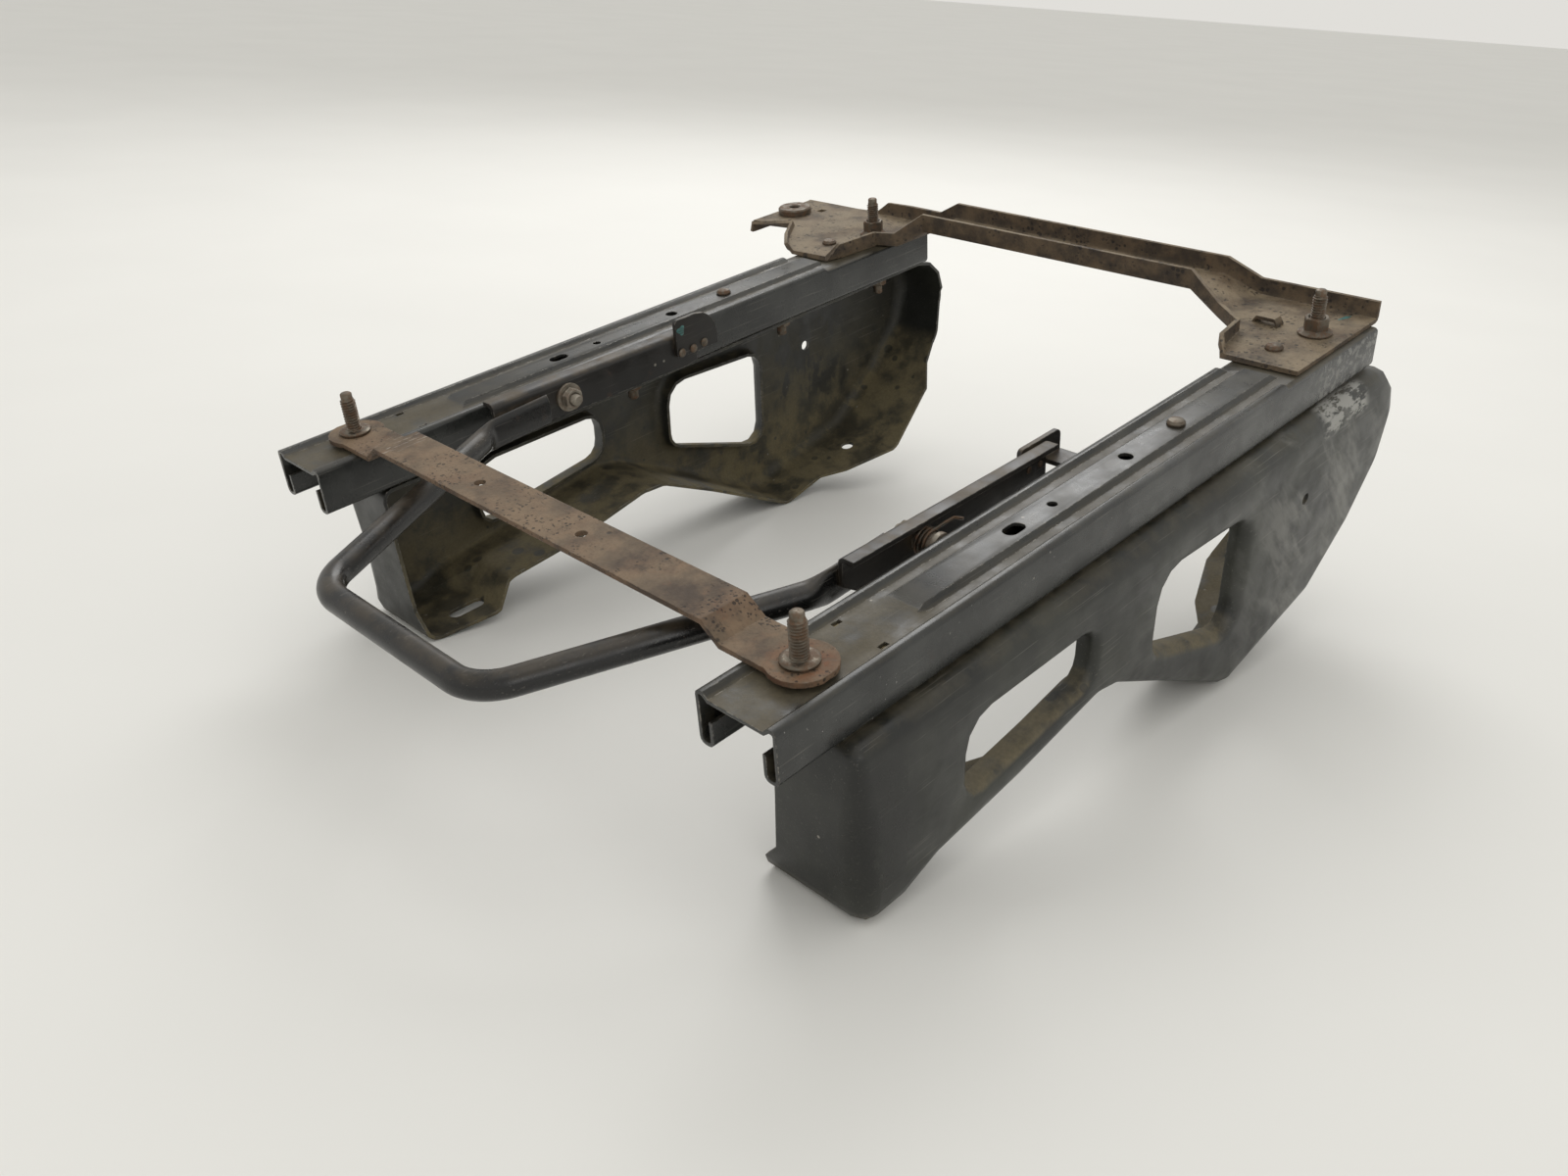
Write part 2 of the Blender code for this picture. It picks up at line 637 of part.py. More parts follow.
def build_rail_bolts(shop, side, hand):
    """Round-head bolts through the lower rail and the riser's top, with flange nuts below."""
    head_seat = LOWER_BOTTOM + LOWER_SHEET + GAP
    nut_top = RISER_TOP - RISER_SHEET - GAP
    tail = nut_top - BOLT_NUT.height - BOLT_TAIL
    length = head_seat - tail
    radius = BOLT_DIAMETER / 2
    head = BOLT_HEAD_DIAMETER / 2
    for number, y in enumerate(BOLT_PLACES, 1):
        foot = rail_point(side, 0, y, tail)
        bolt = bmesh.new()
        add_turned(bolt, foot, (0, 0, 1), [
            (0, 0), (radius * 0.8, 0), (radius, radius * 0.25), (radius, length), (head, length),
            (head * 0.94, length + BOLT_HEAD_HEIGHT * 0.5), (head * 0.6, length + BOLT_HEAD_HEIGHT),
            (0, length + BOLT_HEAD_HEIGHT)], segments=12)
        shop.piece(f"{hand}_rail_bolt_{number}", bolt, "dull_steel", origin=foot)
        seat = rail_point(side, 0, y, nut_top)
        nut = bmesh.new()
        add_hex_nut(nut, seat, (0, 0, -1), BOLT_NUT, radius + GAP)
        shop.piece(f"{hand}_rail_nut_{number}", nut, "dull_steel", origin=seat)


# Risers: each one sheet, drawn into a tray that lies on its side


class Edge(NamedTuple):
    """A corner of a riser's outline, in mm, and how far its flange reaches."""
    y: float
    z: float
    corner: float                   # radius of the corner in the web's plane
    bend: float                     # radius of the draw from the web into the flange
    lip: float                      # where the flange ends, outwards from the rail's centre line
    shift_y: float = 0.0            # how far the lip stands off the web's outline
    shift_z: float = 0.0
    right_lip: float | None = None  # where the right riser's flange ends instead


def lip_offset(side, edge):
    return (edge.lip if side < 0 or edge.right_lip is None else edge.right_lip) * MM


RISER_EDGES = (
    Edge(40, RISER_TOP / MM, 8, 8, -20),
    Edge(40, -90, 0, 16, -22.5),
    Edge(40, -125, 0, 14, -25),
    Edge(40, -148, 12, 11, -34),
    Edge(74, -148, 14, 11, -38, 22, 0),
    Edge(98, -137, 20, 8, -32, 18, 6, -14),
    Edge(170, -128, 0, 6, -31, right_lip=12),
    Edge(245, -116, 20, 6, -30, right_lip=12),
    Edge(268, -121, 20, 6, -26, right_lip=11),
    Edge(320, -150, 0, 8, -20, right_lip=0),
    Edge(360, -174, 0, 10, -15, right_lip=-7),
    Edge(411, -204, 14, 12, -12, right_lip=-8),
    Edge(455, -195.5, 0, 12, -12),
    Edge(474, -192, 0, 12, -26),
    Edge(523, -183, 20, 12, -43),
    Edge(576, -147.5, 20, 12, -35),
    Edge(594, -129, 0, 12, -22),
    Edge(612, -110.6, 30, 12, -18),
    Edge(624, -76, 30, 13, -14),
    Edge(622, RISER_TOP / MM, 34, 14, -16),
    Edge(330, RISER_TOP / MM, 0, 14, -20),
)
FRONT_SLOT = ((130, -65, 18), (128, -114, 11), (243, -101, 13), (245, -66, 13))
REAR_WINDOW = ((315, -67, 18), (312, -119, 13), (414, -157, 13), (418, -73, 14))
OPENING_STAGGER = 5 * MM            # forward for the right riser's openings, rearward for the left one's
FLARE_STEP = 2 * MM                 # least width of a flange beyond its flare


def riser_rings(side):
    """Rows of points from the web's rim, round the draw and out to the flange's lip."""
    rows = [[] for _ in range(BEND_STEPS + 3)]
    flat = [Vector((edge.y, edge.z)) * MM for edge in RISER_EDGES]
    for k, edge in enumerate(RISER_EDGES):
        bend = edge.bend * MM
        shift = Vector((edge.shift_y, edge.shift_z)) * MM
        after = flat[(k + 1) % len(flat)]
        for point, normal in fillet(flat[k - 1], flat[k], after, edge.corner * MM, BEND_STEPS):
            for step in range(BEND_STEPS + 1):
                angle = math.pi / 2 * step / BEND_STEPS
                drawn = point - normal * bend * (1 - math.sin(angle))
                rows[step].append(rail_point(side, WEB_OFFSET - bend * (1 - math.cos(angle)), *drawn))
            lip = lip_offset(side, edge)
            rows[-2].append(rail_point(side, max(FLARE_OFFSET, lip + FLARE_STEP), *(point + shift)))
            rows[-1].append(rail_point(side, lip, *(point + shift)))
    return rows


def rim_rings(side, corners, bend):
    """Rows of points from the web into the drawn rim of an opening."""
    rows = [[] for _ in range(BEND_STEPS + 2)]
    moved = [(y * MM - side * OPENING_STAGGER, z * MM, radius * MM) for y, z, radius in corners]
    for point, normal in rounded_outline(moved, BEND_STEPS):
        for step in range(BEND_STEPS + 1):
            angle = math.pi / 2 * step / BEND_STEPS
            drawn = point + normal * bend * (1 - math.sin(angle))
            rows[step].append(rail_point(side, WEB_OFFSET - bend * (1 - math.cos(angle)), *drawn))
        rows[-1].append(rail_point(side, WEB_OFFSET - RING_DEPTH, *point))
    return rows


def build_riser(shop, side, hand):
    bm = bmesh.new()
    rims = [riser_rings(side)]
    rims += [rim_rings(side, FRONT_SLOT, SLOT_RIM_BEND), rim_rings(side, REAR_WINDOW, WINDOW_RIM_BEND)]
    web_edges = []
    for rows in rims:
        first = add_loft(bm, rows, closed=True)[0]
        web_edges += [bm.edges.get((first[k - 1], first[k])) for k in range(len(first))]
    bmesh.ops.triangle_fill(bm, use_beauty=True, use_dissolve=False, edges=web_edges)
    bmesh.ops.remove_doubles(bm, verts=bm.verts, dist=0.02 * MM)
    face_towards(bm, (side, 0, 0))
    origin = rail_point(side, 0, 0, 0)
    riser = shop.piece(hand + "_riser", bm, "dusty_paint", origin=origin, sheet=RISER_SHEET)

    holes = bmesh.new()
    for y in BOLT_PLACES:
        add_drum(holes,
                 rail_point(side, 0, y, RISER_TOP + 2 * MM), rail_point(side, 0, y, RISER_TOP - 5 * MM),
                 BOLT_DIAMETER / 2 + GAP, segments=16)
    foot = min(edge.z for edge in RISER_EDGES[:5]) * MM
    add_slot(holes, side * (HALF_SPACING + FOOT_SLOT_OFFSET), FOOT_SLOT_Y,
             FOOT_SLOT_LENGTH / 2 - FOOT_SLOT_WIDTH / 2,
             FOOT_SLOT_WIDTH / 2, foot - 5 * MM, foot + 6 * MM)
    low = min(edge.z for edge in RISER_EDGES) * MM
    add_drum(holes, rail_point(side, FOOT_HOLE_OFFSET, FOOT_HOLE_Y, low - 5 * MM),
             rail_point(side, FOOT_HOLE_OFFSET, FOOT_HOLE_Y, low + 25 * MM),
             FOOT_HOLE_DIAMETER / 2, segments=16)
    add_drum(holes, rail_point(side, WEB_OFFSET - 6 * MM, WEB_HOLE_Y, WEB_HOLE_Z),
             rail_point(side, WEB_OFFSET + 5 * MM, WEB_HOLE_Y, WEB_HOLE_Z),
             WEB_HOLE_DIAMETER / 2, segments=16)
    shop.cut(riser, holes, hand + "_riser_holes")


# Front strap and the studs on the rails


def build_front_strap(shop):
    rail_level = GAP
    half = STRAP_WIDTH / 2
    foot = HALF_SPACING - STRAP_JOGGLE_OFFSET
    neck = math.sqrt(STRAP_END_RADIUS ** 2 - half ** 2)
    plan = []
    for k in range(1, 8):
        angle = math.radians(15 * k)
        if STRAP_END_RADIUS * math.cos(angle) > -neck:
            plan.append((HALF_SPACING + STRAP_END_RADIUS * math.cos(angle),
                         STRAP_END_RADIUS * math.sin(angle)))
    plan += [(HALF_SPACING - neck, half), (foot, half), (foot - STRAP_JOGGLE, half), (0.0, half)]
    rise = [rail_level if x >= foot else rail_level + STRAP_RISE for x, _ in plan]
    sections = []
    for sign in (-1, 1):
        rows = [[(sign * x, STRAP_Y + across * reach, z) for across in (-1, 0, 1)]
                for (x, reach), z in zip(plan, rise)]
        sections += rows if sign < 0 else rows[-2::-1]
    bm = bmesh.new()
    add_loft(bm, sections)
    face_towards(bm, (0, 0, -1))
    strap = shop.piece("front_strap", bm, "rusty_steel", shop.carriage, (0, STRAP_Y, 0),
                       sheet=STRAP_THICKNESS)
    holes = bmesh.new()
    top = rail_level + STRAP_RISE + STRAP_THICKNESS
    for x, radius in ((-HALF_SPACING, STUD_DIAMETER / 2 + GAP), (HALF_SPACING, STUD_DIAMETER / 2 + GAP),
                      (STRAP_HOLES[0], STRAP_HOLE_DIAMETER / 2), (STRAP_HOLES[1], STRAP_HOLE_DIAMETER / 2)):
        y = FRONT_STUD_Y if abs(x) == HALF_SPACING else STRAP_Y
        add_drum(holes, (x, y, -1 * MM), (x, y, top + 1 * MM), radius)
    shop.cut(strap, holes, "strap_holes")


def stud_profile(seat, top):
    """A stud riveted in the rail's top: a flat head below, a plain shank and a turned-down tip."""
    head_top = RAIL_SEAT - RAIL_SHEET - GAP
    radius = STUD_DIAMETER / 2
    return [
        (0, head_top - STUD_HEAD_HEIGHT), (STUD_HEAD_DIAMETER / 2, head_top - STUD_HEAD_HEIGHT),
        (STUD_HEAD_DIAMETER / 2, head_top), (radius, head_top)] + seat + [
        (radius, top - STUD_TIP_LENGTH), (STUD_TIP / 2, top - STUD_TIP_LENGTH + (radius - STUD_TIP / 2)),
        (STUD_TIP / 2, top - 0.5 * MM), (STUD_TIP / 2 - 0.5 * MM, top), (0, top)]


def build_front_stud(shop, side, hand):
    place = rail_point(side, 0, FRONT_STUD_Y, 0)
    collar = FRONT_COLLAR_DIAMETER / 2
    collar_foot = 2 * GAP + STRAP_THICKNESS
    collar_top = collar_foot + FRONT_COLLAR_HEIGHT
    radius = STUD_DIAMETER / 2
    bm = bmesh.new()
    add_turned(bm, place, (0, 0, 1), stud_profile(
        [(radius, collar_foot), (collar, collar_foot), (collar, collar_top - 0.8 * MM),
         (collar - 1.5 * MM, collar_top), (radius, collar_top)], FRONT_STUD_TOP), segments=24)
    shop.piece(hand + "_front_stud", bm, "dull_steel", shop.carriage, place)


def build_rear_stud(shop, side, hand):
    place = rail_point(side, 0, REAR_STUD_Y, 0)
    bm = bmesh.new()
    add_turned(bm, place, (0, 0, 1), stud_profile([], REAR_STUD_TOP), segments=24)
    shop.piece(hand + "_rear_stud", bm, "dull_steel", shop.carriage, place)
    nut = bmesh.new()
    seat = RAIL_SEAT + CHANNEL_SHEET + 2 * GAP
    add_hex_nut(nut, rail_point(side, 0, REAR_STUD_Y, seat), (0, 0, 1), REAR_NUT,
                STUD_DIAMETER / 2 + GAP, segments=24)
    shop.piece(hand + "_rear_nut", nut, "dull_steel", shop.carriage, place)


def add_rivet(bm, foot, axis, shank, depth, head, height, segments=16):
    """Adds a dome-headed rivet; foot is under the head, and the shank runs back along axis."""
    foot = Vector(foot)
    add_turned(bm, foot, axis, [
        (0, -depth), (shank / 2, -depth), (shank / 2, 0), (head / 2, 0), (head / 2, height * 0.35),
        (head / 2 * 0.8, height * 0.8), (head / 2 * 0.4, height), (0, height)], segments=segments)


def build_rail_rivets(shop, side, hand):
    rivet = bmesh.new()
    place = rail_point(side, 0, RAIL_RIVET_Y, GAP)
    add_rivet(rivet, place, (0, 0, 1), RAIL_RIVET_SHANK, RAIL_SHEET + GAP, RAIL_RIVET_HEAD, RAIL_RIVET_HEIGHT)
    shop.piece(hand + "_rail_rivet", rivet, "dull_steel", shop.carriage, place)
    rivet = bmesh.new()
    seat = RAIL_SEAT + CHANNEL_SHEET + 2 * GAP
    place = rail_point(side, PLATE_RIVET_OFFSETS[hand], REAR_STUD_Y - PLATE_RIVET_AHEAD, seat)
    add_rivet(rivet, place, (0, 0, 1), PLATE_RIVET_SHANK, CHANNEL_SHEET + RAIL_SHEET + 2 * GAP,
              PLATE_RIVET_HEAD, PLATE_RIVET_HEIGHT)
    shop.piece(hand + "_plate_rivet", rivet, "dull_steel", shop.carriage, place)


# Rear cross channel


class Station(NamedTuple):
    """One cross-section of the rear channel, in mm from the rear studs: its floor's ends and its walls."""
    front_x: float
    front_y: float
    back_x: float
    back_y: float
    raised: float                   # 0 on the plates, 1 along the middle
    front_wall: float
    front_fold: float               # degrees; 90 stands up, a small angle lies almost flat
    back_wall: float
    back_fold: float


CHANNEL_STATIONS = (
    Station(-318, -29, -318, 44, 0, 3, 6, 3, 6),
    Station(-277, -22, -285, 46, 0, 8, 60, 3, 6),
    Station(-256, -52, -262, 47, 0, 8, 80, 3, 6),
    Station(-238, -68, -240, 50, 0, 8, 60, 4, 20),
    Station(-228, -70, -225, 52, 0, 3, 6, 14, 90),
    Station(-190, -68, -200, 52, 0, 3, 6, 15, 90),
    Station(-186, -58, -188, 52, 0, 12, 90, 15, 90),
    Station(-183, -18, -180, 52, 0, 12, 90, 15, 90),
    Station(-167, -11, -166, 52, 0, 12, 90, 15, 90),
    Station(-152, 8, -147, 52, 1, 16, 90, 16, 90),
    Station(98, 10, 106, 52, 1, 16, 90, 16, 90),
    Station(130, -6, 134, 52, 0, 12, 90, 15, 90),
    Station(155, -27, 150, 52, 0, 12, 90, 15, 90),
    Station(159, -56, 165, 52, 0, 12, 90, 15, 90),
    Station(168, -66, 180, 52, 0, 3, 6, 15, 90),
    Station(221, -64, 221, 52, 0, 3, 6, 15, 90),
)


def channel_section(station):
    """The channel's under side at one station, from the front wall's top to the back wall's top."""
    front = Vector((station.front_x * MM, REAR_STUD_Y + station.front_y * MM))
    back = Vector((station.back_x * MM, REAR_STUD_Y + station.back_y * MM))
    across = back - front
    width = across.length
    front_fold = math.radians(station.front_fold)
    back_fold = math.radians(station.back_fold)
    path = rounded_path([
        (-station.front_wall * MM * math.cos(front_fold), station.front_wall * MM * math.sin(front_fold), 0),
        (0, 0, CHANNEL_BEND if station.front_wall > 5 else 0.5 * MM),
        (width, 0, CHANNEL_BEND if station.back_wall > 5 else 0.5 * MM),
        (width + station.back_wall * MM * math.cos(back_fold),
         station.back_wall * MM * math.sin(back_fold), 0),
    ], steps=2)
    level = RAIL_SEAT + GAP + CHANNEL_RISE * station.raised
    row = []
    for point in path:
        plan = front + across / width * point.x
        row.append((plan.x, plan.y, level + point.y))
    return row


def build_rear_channel(shop):
    bm = bmesh.new()
    rows = [channel_section(station) for station in CHANNEL_STATIONS]
    ear = [(point[0] - 1 * MM, point[1], point[2] - EAR_HOOK) for point in rows[0]]
    add_loft(bm, [ear] + rows)
    face_towards(bm, (0, 0, -1))
    channel = shop.piece("rear_cross_channel", bm, "rusty_steel", shop.carriage, (0, REAR_STUD_Y, 0),
                         sheet=CHANNEL_SHEET)
    holes = bmesh.new()
    for x, y, radius in (
            (-HALF_SPACING, REAR_STUD_Y, STUD_DIAMETER / 2 + GAP),
            (HALF_SPACING, REAR_STUD_Y, STUD_DIAMETER / 2 + GAP),
            (-HALF_SPACING - PLATE_RIVET_OFFSETS["left"], REAR_STUD_Y - PLATE_RIVET_AHEAD,
             PLATE_RIVET_SHANK / 2 + GAP),
            (HALF_SPACING + PLATE_RIVET_OFFSETS["right"], REAR_STUD_Y - PLATE_RIVET_AHEAD,
             PLATE_RIVET_SHANK / 2 + GAP),
            (ANCHOR_X, REAR_STUD_Y + ANCHOR_BACK, ANCHOR_HOLE / 2)):
        add_drum(holes, (x, y, -8 * MM), (x, y, 8 * MM), radius)
    for x, back in FLOOR_SLOTS:
        y = REAR_STUD_Y + back
        add_box(holes, (x - FLOOR_SLOT_LENGTH / 2, y - FLOOR_SLOT_WIDTH / 2, 2 * MM),
                (x + FLOOR_SLOT_LENGTH / 2, y + FLOOR_SLOT_WIDTH / 2, 14 * MM))
    half = EAR_HOLE / 2
    y = REAR_STUD_Y + EAR_HOLE_BACK
    add_box(holes, (EAR_HOLE_X - half, y - half, -8 * MM), (EAR_HOLE_X + half, y + half, 8 * MM))
    shop.cut(channel, holes, "channel_holes")


def build_anchor_boss(shop):
    bm = bmesh.new()
    seat = RAIL_SEAT + CHANNEL_SHEET + 2 * GAP
    bore = ANCHOR_HOLE / 2
    outer = ANCHOR_DIAMETER / 2
    levels = [(bore, 0), (outer, 0), (outer, ANCHOR_HEIGHT - 1.2 * MM), (outer - 1.2 * MM, ANCHOR_HEIGHT),
              (bore + 1 * MM, ANCHOR_HEIGHT), (bore, ANCHOR_HEIGHT - 1 * MM)]
    rings = []
    centre_y = REAR_STUD_Y + ANCHOR_BACK
    for radius, level in levels:
        angles = [2 * math.pi * k / 28 for k in range(28)]
        rings.append([(ANCHOR_X + radius * math.cos(a), centre_y + radius * math.sin(a), seat + level)
                      for a in angles])
    add_loft(bm, rings, closed=True, looped=True)
    bmesh.ops.recalc_face_normals(bm, faces=bm.faces)
    shop.piece("anchor_boss", bm, "dull_steel", shop.carriage, (ANCHOR_X, centre_y, seat))


# Adjuster bar, arms, pivots and latches


def bar_level(y):
    """Height of the bar's centre line at y."""
    if y > BAR_KNEE_Y:
        return BAR_KNEE_Z + (BAR_END_Z - BAR_KNEE_Z) * ramp(y, BAR_KNEE_Y, BAR_END_Y)
    return BAR_FRONT_Z + (BAR_KNEE_Z - BAR_FRONT_Z) * ramp(y, -BAR_FRONT, BAR_KNEE_Y)


def build_adjuster_bar(shop):
    end_x = ARM_INNER - GAP - BAR_END_THICKNESS / 2
    crushed = ARM_FRONT - BAR_CRUSH_CLEARANCE
    path = rounded_path([
        (-end_x, BAR_END_Y, 0), (-end_x, BAR_KNEE_Y, BAR_KNEE_RADIUS),
        (-BAR_FRONT_HALF, -BAR_FRONT, BAR_CORNER_RADIUS), (BAR_FRONT_HALF, -BAR_FRONT, BAR_CORNER_RADIUS),
        (end_x, BAR_KNEE_Y, BAR_KNEE_RADIUS), (end_x, BAR_END_Y, 0)], steps=5)
    segments = 12
    sections = []
    for k, point in enumerate(path):
        ahead = path[min(k + 1, len(path) - 1)] - path[max(k - 1, 0)]
        across = Vector((ahead.y, -ahead.x)).normalized()
        flat = ramp(point.y, crushed - BAR_CRUSH, crushed)
        wide = BAR_DIAMETER / 2 + (BAR_END_THICKNESS / 2 - BAR_DIAMETER / 2) * flat
        tall = BAR_DIAMETER / 2 + (BAR_END_HEIGHT / 2 - BAR_DIAMETER / 2) * flat
        ring = []
        for j in range(segments):
            angle = 2 * math.pi * j / segments
            plan = point + across * wide * math.cos(angle)
            ring.append((plan.x, plan.y, bar_level(point.y) + tall * math.sin(angle)))
        sections.append(ring)
    bm = bmesh.new()
    add_loft(bm, sections, closed=True)
    face_towards(bm, (0, 0, 1))
    shop.piece("adjuster_bar", bm, "black_paint", shop.lever, (0, PIVOT_Y, PIVOT_Z), sheet=BAR_WALL)


def arm_top(y):
    return ARM_TOP + ARM_RISE * (y - PIVOT_Y) / (ARM_BACK - PIVOT_Y)


def build_arm(shop, side, hand):
    """A strip folded to an angle: the plate stands beside the rail, and its flange points at it."""
    inner = ARM_INNER - HALF_SPACING
    sections = []
    for y, lift in ((ARM_FRONT, 8 * MM), (ARM_FRONT + 12 * MM, 0),
                    (ARM_BACK - 10 * MM, 0), (ARM_BACK, 2 * MM)):
        path = rounded_path([
            (inner, arm_top(y) - ARM_HEIGHT + lift, 0), (inner, arm_top(y), 4 * MM),
            (inner + ARM_SHEET + ARM_FLANGE, arm_top(y), 0)])
        sections.append([rail_point(side, point.x, y, point.y) for point in path])
    bm = bmesh.new()
    add_loft(bm, sections)
    face_towards(bm, (0, 0, 1))
    arm = shop.piece(hand + "_lever_arm", bm, "black_paint", shop.lever, (side * ARM_OUTER, PIVOT_Y, PIVOT_Z),
                     sheet=ARM_SHEET)
    holes = bmesh.new()
    add_drum(holes,
             (side * (ARM_INNER - 1 * MM), PIVOT_Y, PIVOT_Z), (side * (ARM_OUTER + 1 * MM), PIVOT_Y, PIVOT_Z),
             PIVOT_DIAMETER / 2 + GAP)
    for y in LATCH_RIVETS:
        add_drum(holes, (side * (ARM_INNER - 1 * MM), y, latch_rivet_level(y)),
                 (side * (ARM_OUTER + 1 * MM), y, latch_rivet_level(y)),
                 LATCH_RIVET_SHANK / 2 + GAP, segments=12)
    shop.cut(arm, holes, hand + "_arm_holes")


def latch_rivet_level(y):
    return arm_top(y) - ARM_HEIGHT / 2


def build_latch_plate(shop, side, hand):
    """A plate riveted inside the arm; its foot turns out under the rail and carries the lock's teeth."""
    face = ARM_INNER - GAP
    top = arm_top(LATCH_FRONT) + (LATCH_CROWN if hand == "left" else 0)
    foot = LATCH_TONGUE_Z - LATCH_SHEET / 2
    crown = LATCH_CROWN + 8 * MM if hand == "left" else 4 * MM
    outline = rounded_outline([
        (LATCH_FRONT, foot, 2 * MM), (LATCH_BACK, foot, 0),
        (LATCH_BACK, top, crown), (LATCH_FRONT, top, 3 * MM)])
    bm = bmesh.new()
    add_prism(bm, [point for point, _ in outline], face - LATCH_SHEET, face,
              lambda a, b, station: (side * station, a, b))
    plate = shop.piece(hand + "_latch_plate", bm, "black_paint", shop.lever, (side * face, PIVOT_Y, PIVOT_Z))

    start = tooth_place(0) - LATCH_TOOTH_WIDTH / 2
    tip = HALF_SPACING - HOOK_CENTRE - LOWER_SHEET / 2 - LATCH_TIP_GAP
    root = HALF_SPACING - HALF_WIDTH - LATCH_ROOT
    tongue = [(face - LATCH_SHEET / 2, start), (face - LATCH_SHEET / 2, LATCH_BACK), (root, LATCH_BACK)]
    for k in reversed(range(LATCH_TEETH)):
        y = tooth_place(k)
        tongue += [(root, y + LATCH_TOOTH_WIDTH / 2), (tip, y + LATCH_TOOTH_WIDTH / 2 - 0.5 * MM),
                   (tip, y - LATCH_TOOTH_WIDTH / 2 + 0.5 * MM), (root, y - LATCH_TOOTH_WIDTH / 2)]
    tongue = tongue[:2] + tongue[3:]
    solid = bmesh.new()
    add_prism(solid, tongue, foot, foot + LATCH_SHEET, lambda a, b, station: (side * a, b, station))
    shop.join_solid(plate, solid, hand + "_latch_tongue")
    holes = bmesh.new()
    for y in LATCH_RIVETS:
        add_drum(holes, (side * (face + 1 * MM), y, latch_rivet_level(y)),
                 (side * (face - LATCH_SHEET - 1 * MM), y, latch_rivet_level(y)),
                 LATCH_RIVET_SHANK / 2 + GAP, segments=12)
    shop.cut(plate, holes, hand + "_latch_holes")


def build_latch_rivets(shop, side, hand):
    face = ARM_INNER - GAP - LATCH_SHEET - GAP
    for number, y in enumerate(LATCH_RIVETS, 1):
        seat = (side * face, y, latch_rivet_level(y))
        bm = bmesh.new()
        add_rivet(bm, seat, (-side, 0, 0), LATCH_RIVET_SHANK, ARM_OUTER - face + 0.5 * MM,
                  LATCH_RIVET_HEAD, LATCH_RIVET_HEIGHT, segments=12)
        shop.piece(f"{hand}_latch_rivet_{number}", bm, "dull_steel", shop.lever, seat)


def build_pivot(shop, side, hand):
    """A shouldered stud on the rail's wall, with its washer and nut; the arm turns on it."""
    wall = HALF_SPACING - HALF_WIDTH - GAP
    shoulder = wall - ARM_OUTER - GAP
    washer = ARM_INNER - GAP
    nut = washer - PIVOT_WASHER_HEIGHT - GAP
    length = wall - nut + PIVOT_NUT.height + PIVOT_TAIL
    radius = PIVOT_DIAMETER / 2

    def at(x):
        return (side * x, PIVOT_Y, PIVOT_Z)

    stud = bmesh.new()
    add_turned(stud, at(wall), (-side, 0, 0), [
        (0, 0), (PIVOT_COLLAR_DIAMETER / 2, 0), (PIVOT_COLLAR_DIAMETER / 2, PIVOT_COLLAR_HEIGHT),
        (SHOULDER_DIAMETER / 2, PIVOT_COLLAR_HEIGHT), (SHOULDER_DIAMETER / 2, shoulder), (radius, shoulder),
        (radius, length - 0.8 * MM), (radius - 0.8 * MM, length), (0, length)])
    shop.piece(hand + "_pivot_stud", stud, "dull_steel", shop.carriage, at(wall))
    ring = bmesh.new()
    add_sleeve(ring, at(washer), (-side, 0, 0), radius + GAP, PIVOT_WASHER_DIAMETER / 2, PIVOT_WASHER_HEIGHT)
    shop.piece(hand + "_pivot_washer", ring, "dull_steel", shop.carriage, at(washer))
    nut_mesh = bmesh.new()
    add_hex_nut(nut_mesh, at(nut), (-side, 0, 0), PIVOT_NUT, radius + GAP)
    shop.piece(hand + "_pivot_nut", nut_mesh, "dull_steel", shop.carriage, at(nut))


def add_sleeve(bm, foot, axis, bore, outer, length, segments=20):
    """Adds a plain ring with a bore, from foot along axis."""
    turn = Matrix.Translation(foot) @ Vector((0, 0, 1)).rotation_difference(Vector(axis)).to_matrix().to_4x4()
    rings = []
    for radius, level in ((bore, 0), (outer, 0), (outer, length), (bore, length)):
        angles = [2 * math.pi * k / segments for k in range(segments)]
        rings.append([turn @ Vector((radius * math.cos(a), radius * math.sin(a), level)) for a in angles])
    add_loft(bm, rings, closed=True, looped=True)
    bmesh.ops.recalc_face_normals(bm, faces=bm.faces)


def build_lever_spring(shop, side, hand):
    """A torsion spring round the pivot's shoulder: one leg under the arm's flange, one towards the rail."""
    radius = SHOULDER_DIAMETER / 2 + GAP + SPRING_WIRE / 2
    start = ARM_OUTER + GAP + SPRING_WIRE / 2 + 1 * MM
    pitch = SPRING_WIRE + 0.6 * MM
    wall = HALF_SPACING - HALF_WIDTH - GAP - SPRING_WIRE / 2
    points = [(start, -SPRING_LEG, SPRING_LEG_RISE + radius)]
    steps = 14
    for k in range(SPRING_TURNS * steps + 1):
        angle = math.pi / 2 - 2 * math.pi * k / steps
        points.append((start + pitch * k / steps, radius * math.cos(angle), radius * math.sin(angle)))
    last = start + pitch * SPRING_TURNS
    points += [(last + 0.5 * MM, SPRING_LEG * 0.5, radius + 0.5 * MM),
               (last + 1 * MM, SPRING_LEG * 0.6, radius + 0.6 * MM),
               (wall, SPRING_LEG * 0.66, radius + 0.6 * MM)]
    curve = bpy.data.curves.new(hand + "_lever_spring", "CURVE")
    curve.dimensions = "3D"
    curve.bevel_depth = SPRING_WIRE / 2
    curve.bevel_resolution = 2
    curve.use_fill_caps = True
    spline = curve.splines.new("POLY")
    spline.points.add(len(points) - 1)
    for target, (x, y, z) in zip(spline.points, points):
        target.co = (side * (x - ARM_OUTER), y, z, 1)
    shop.node(hand + "_lever_spring", curve, "dull_steel", shop.lever, (side * ARM_OUTER, PIVOT_Y, PIVOT_Z))


# Standing on the floor


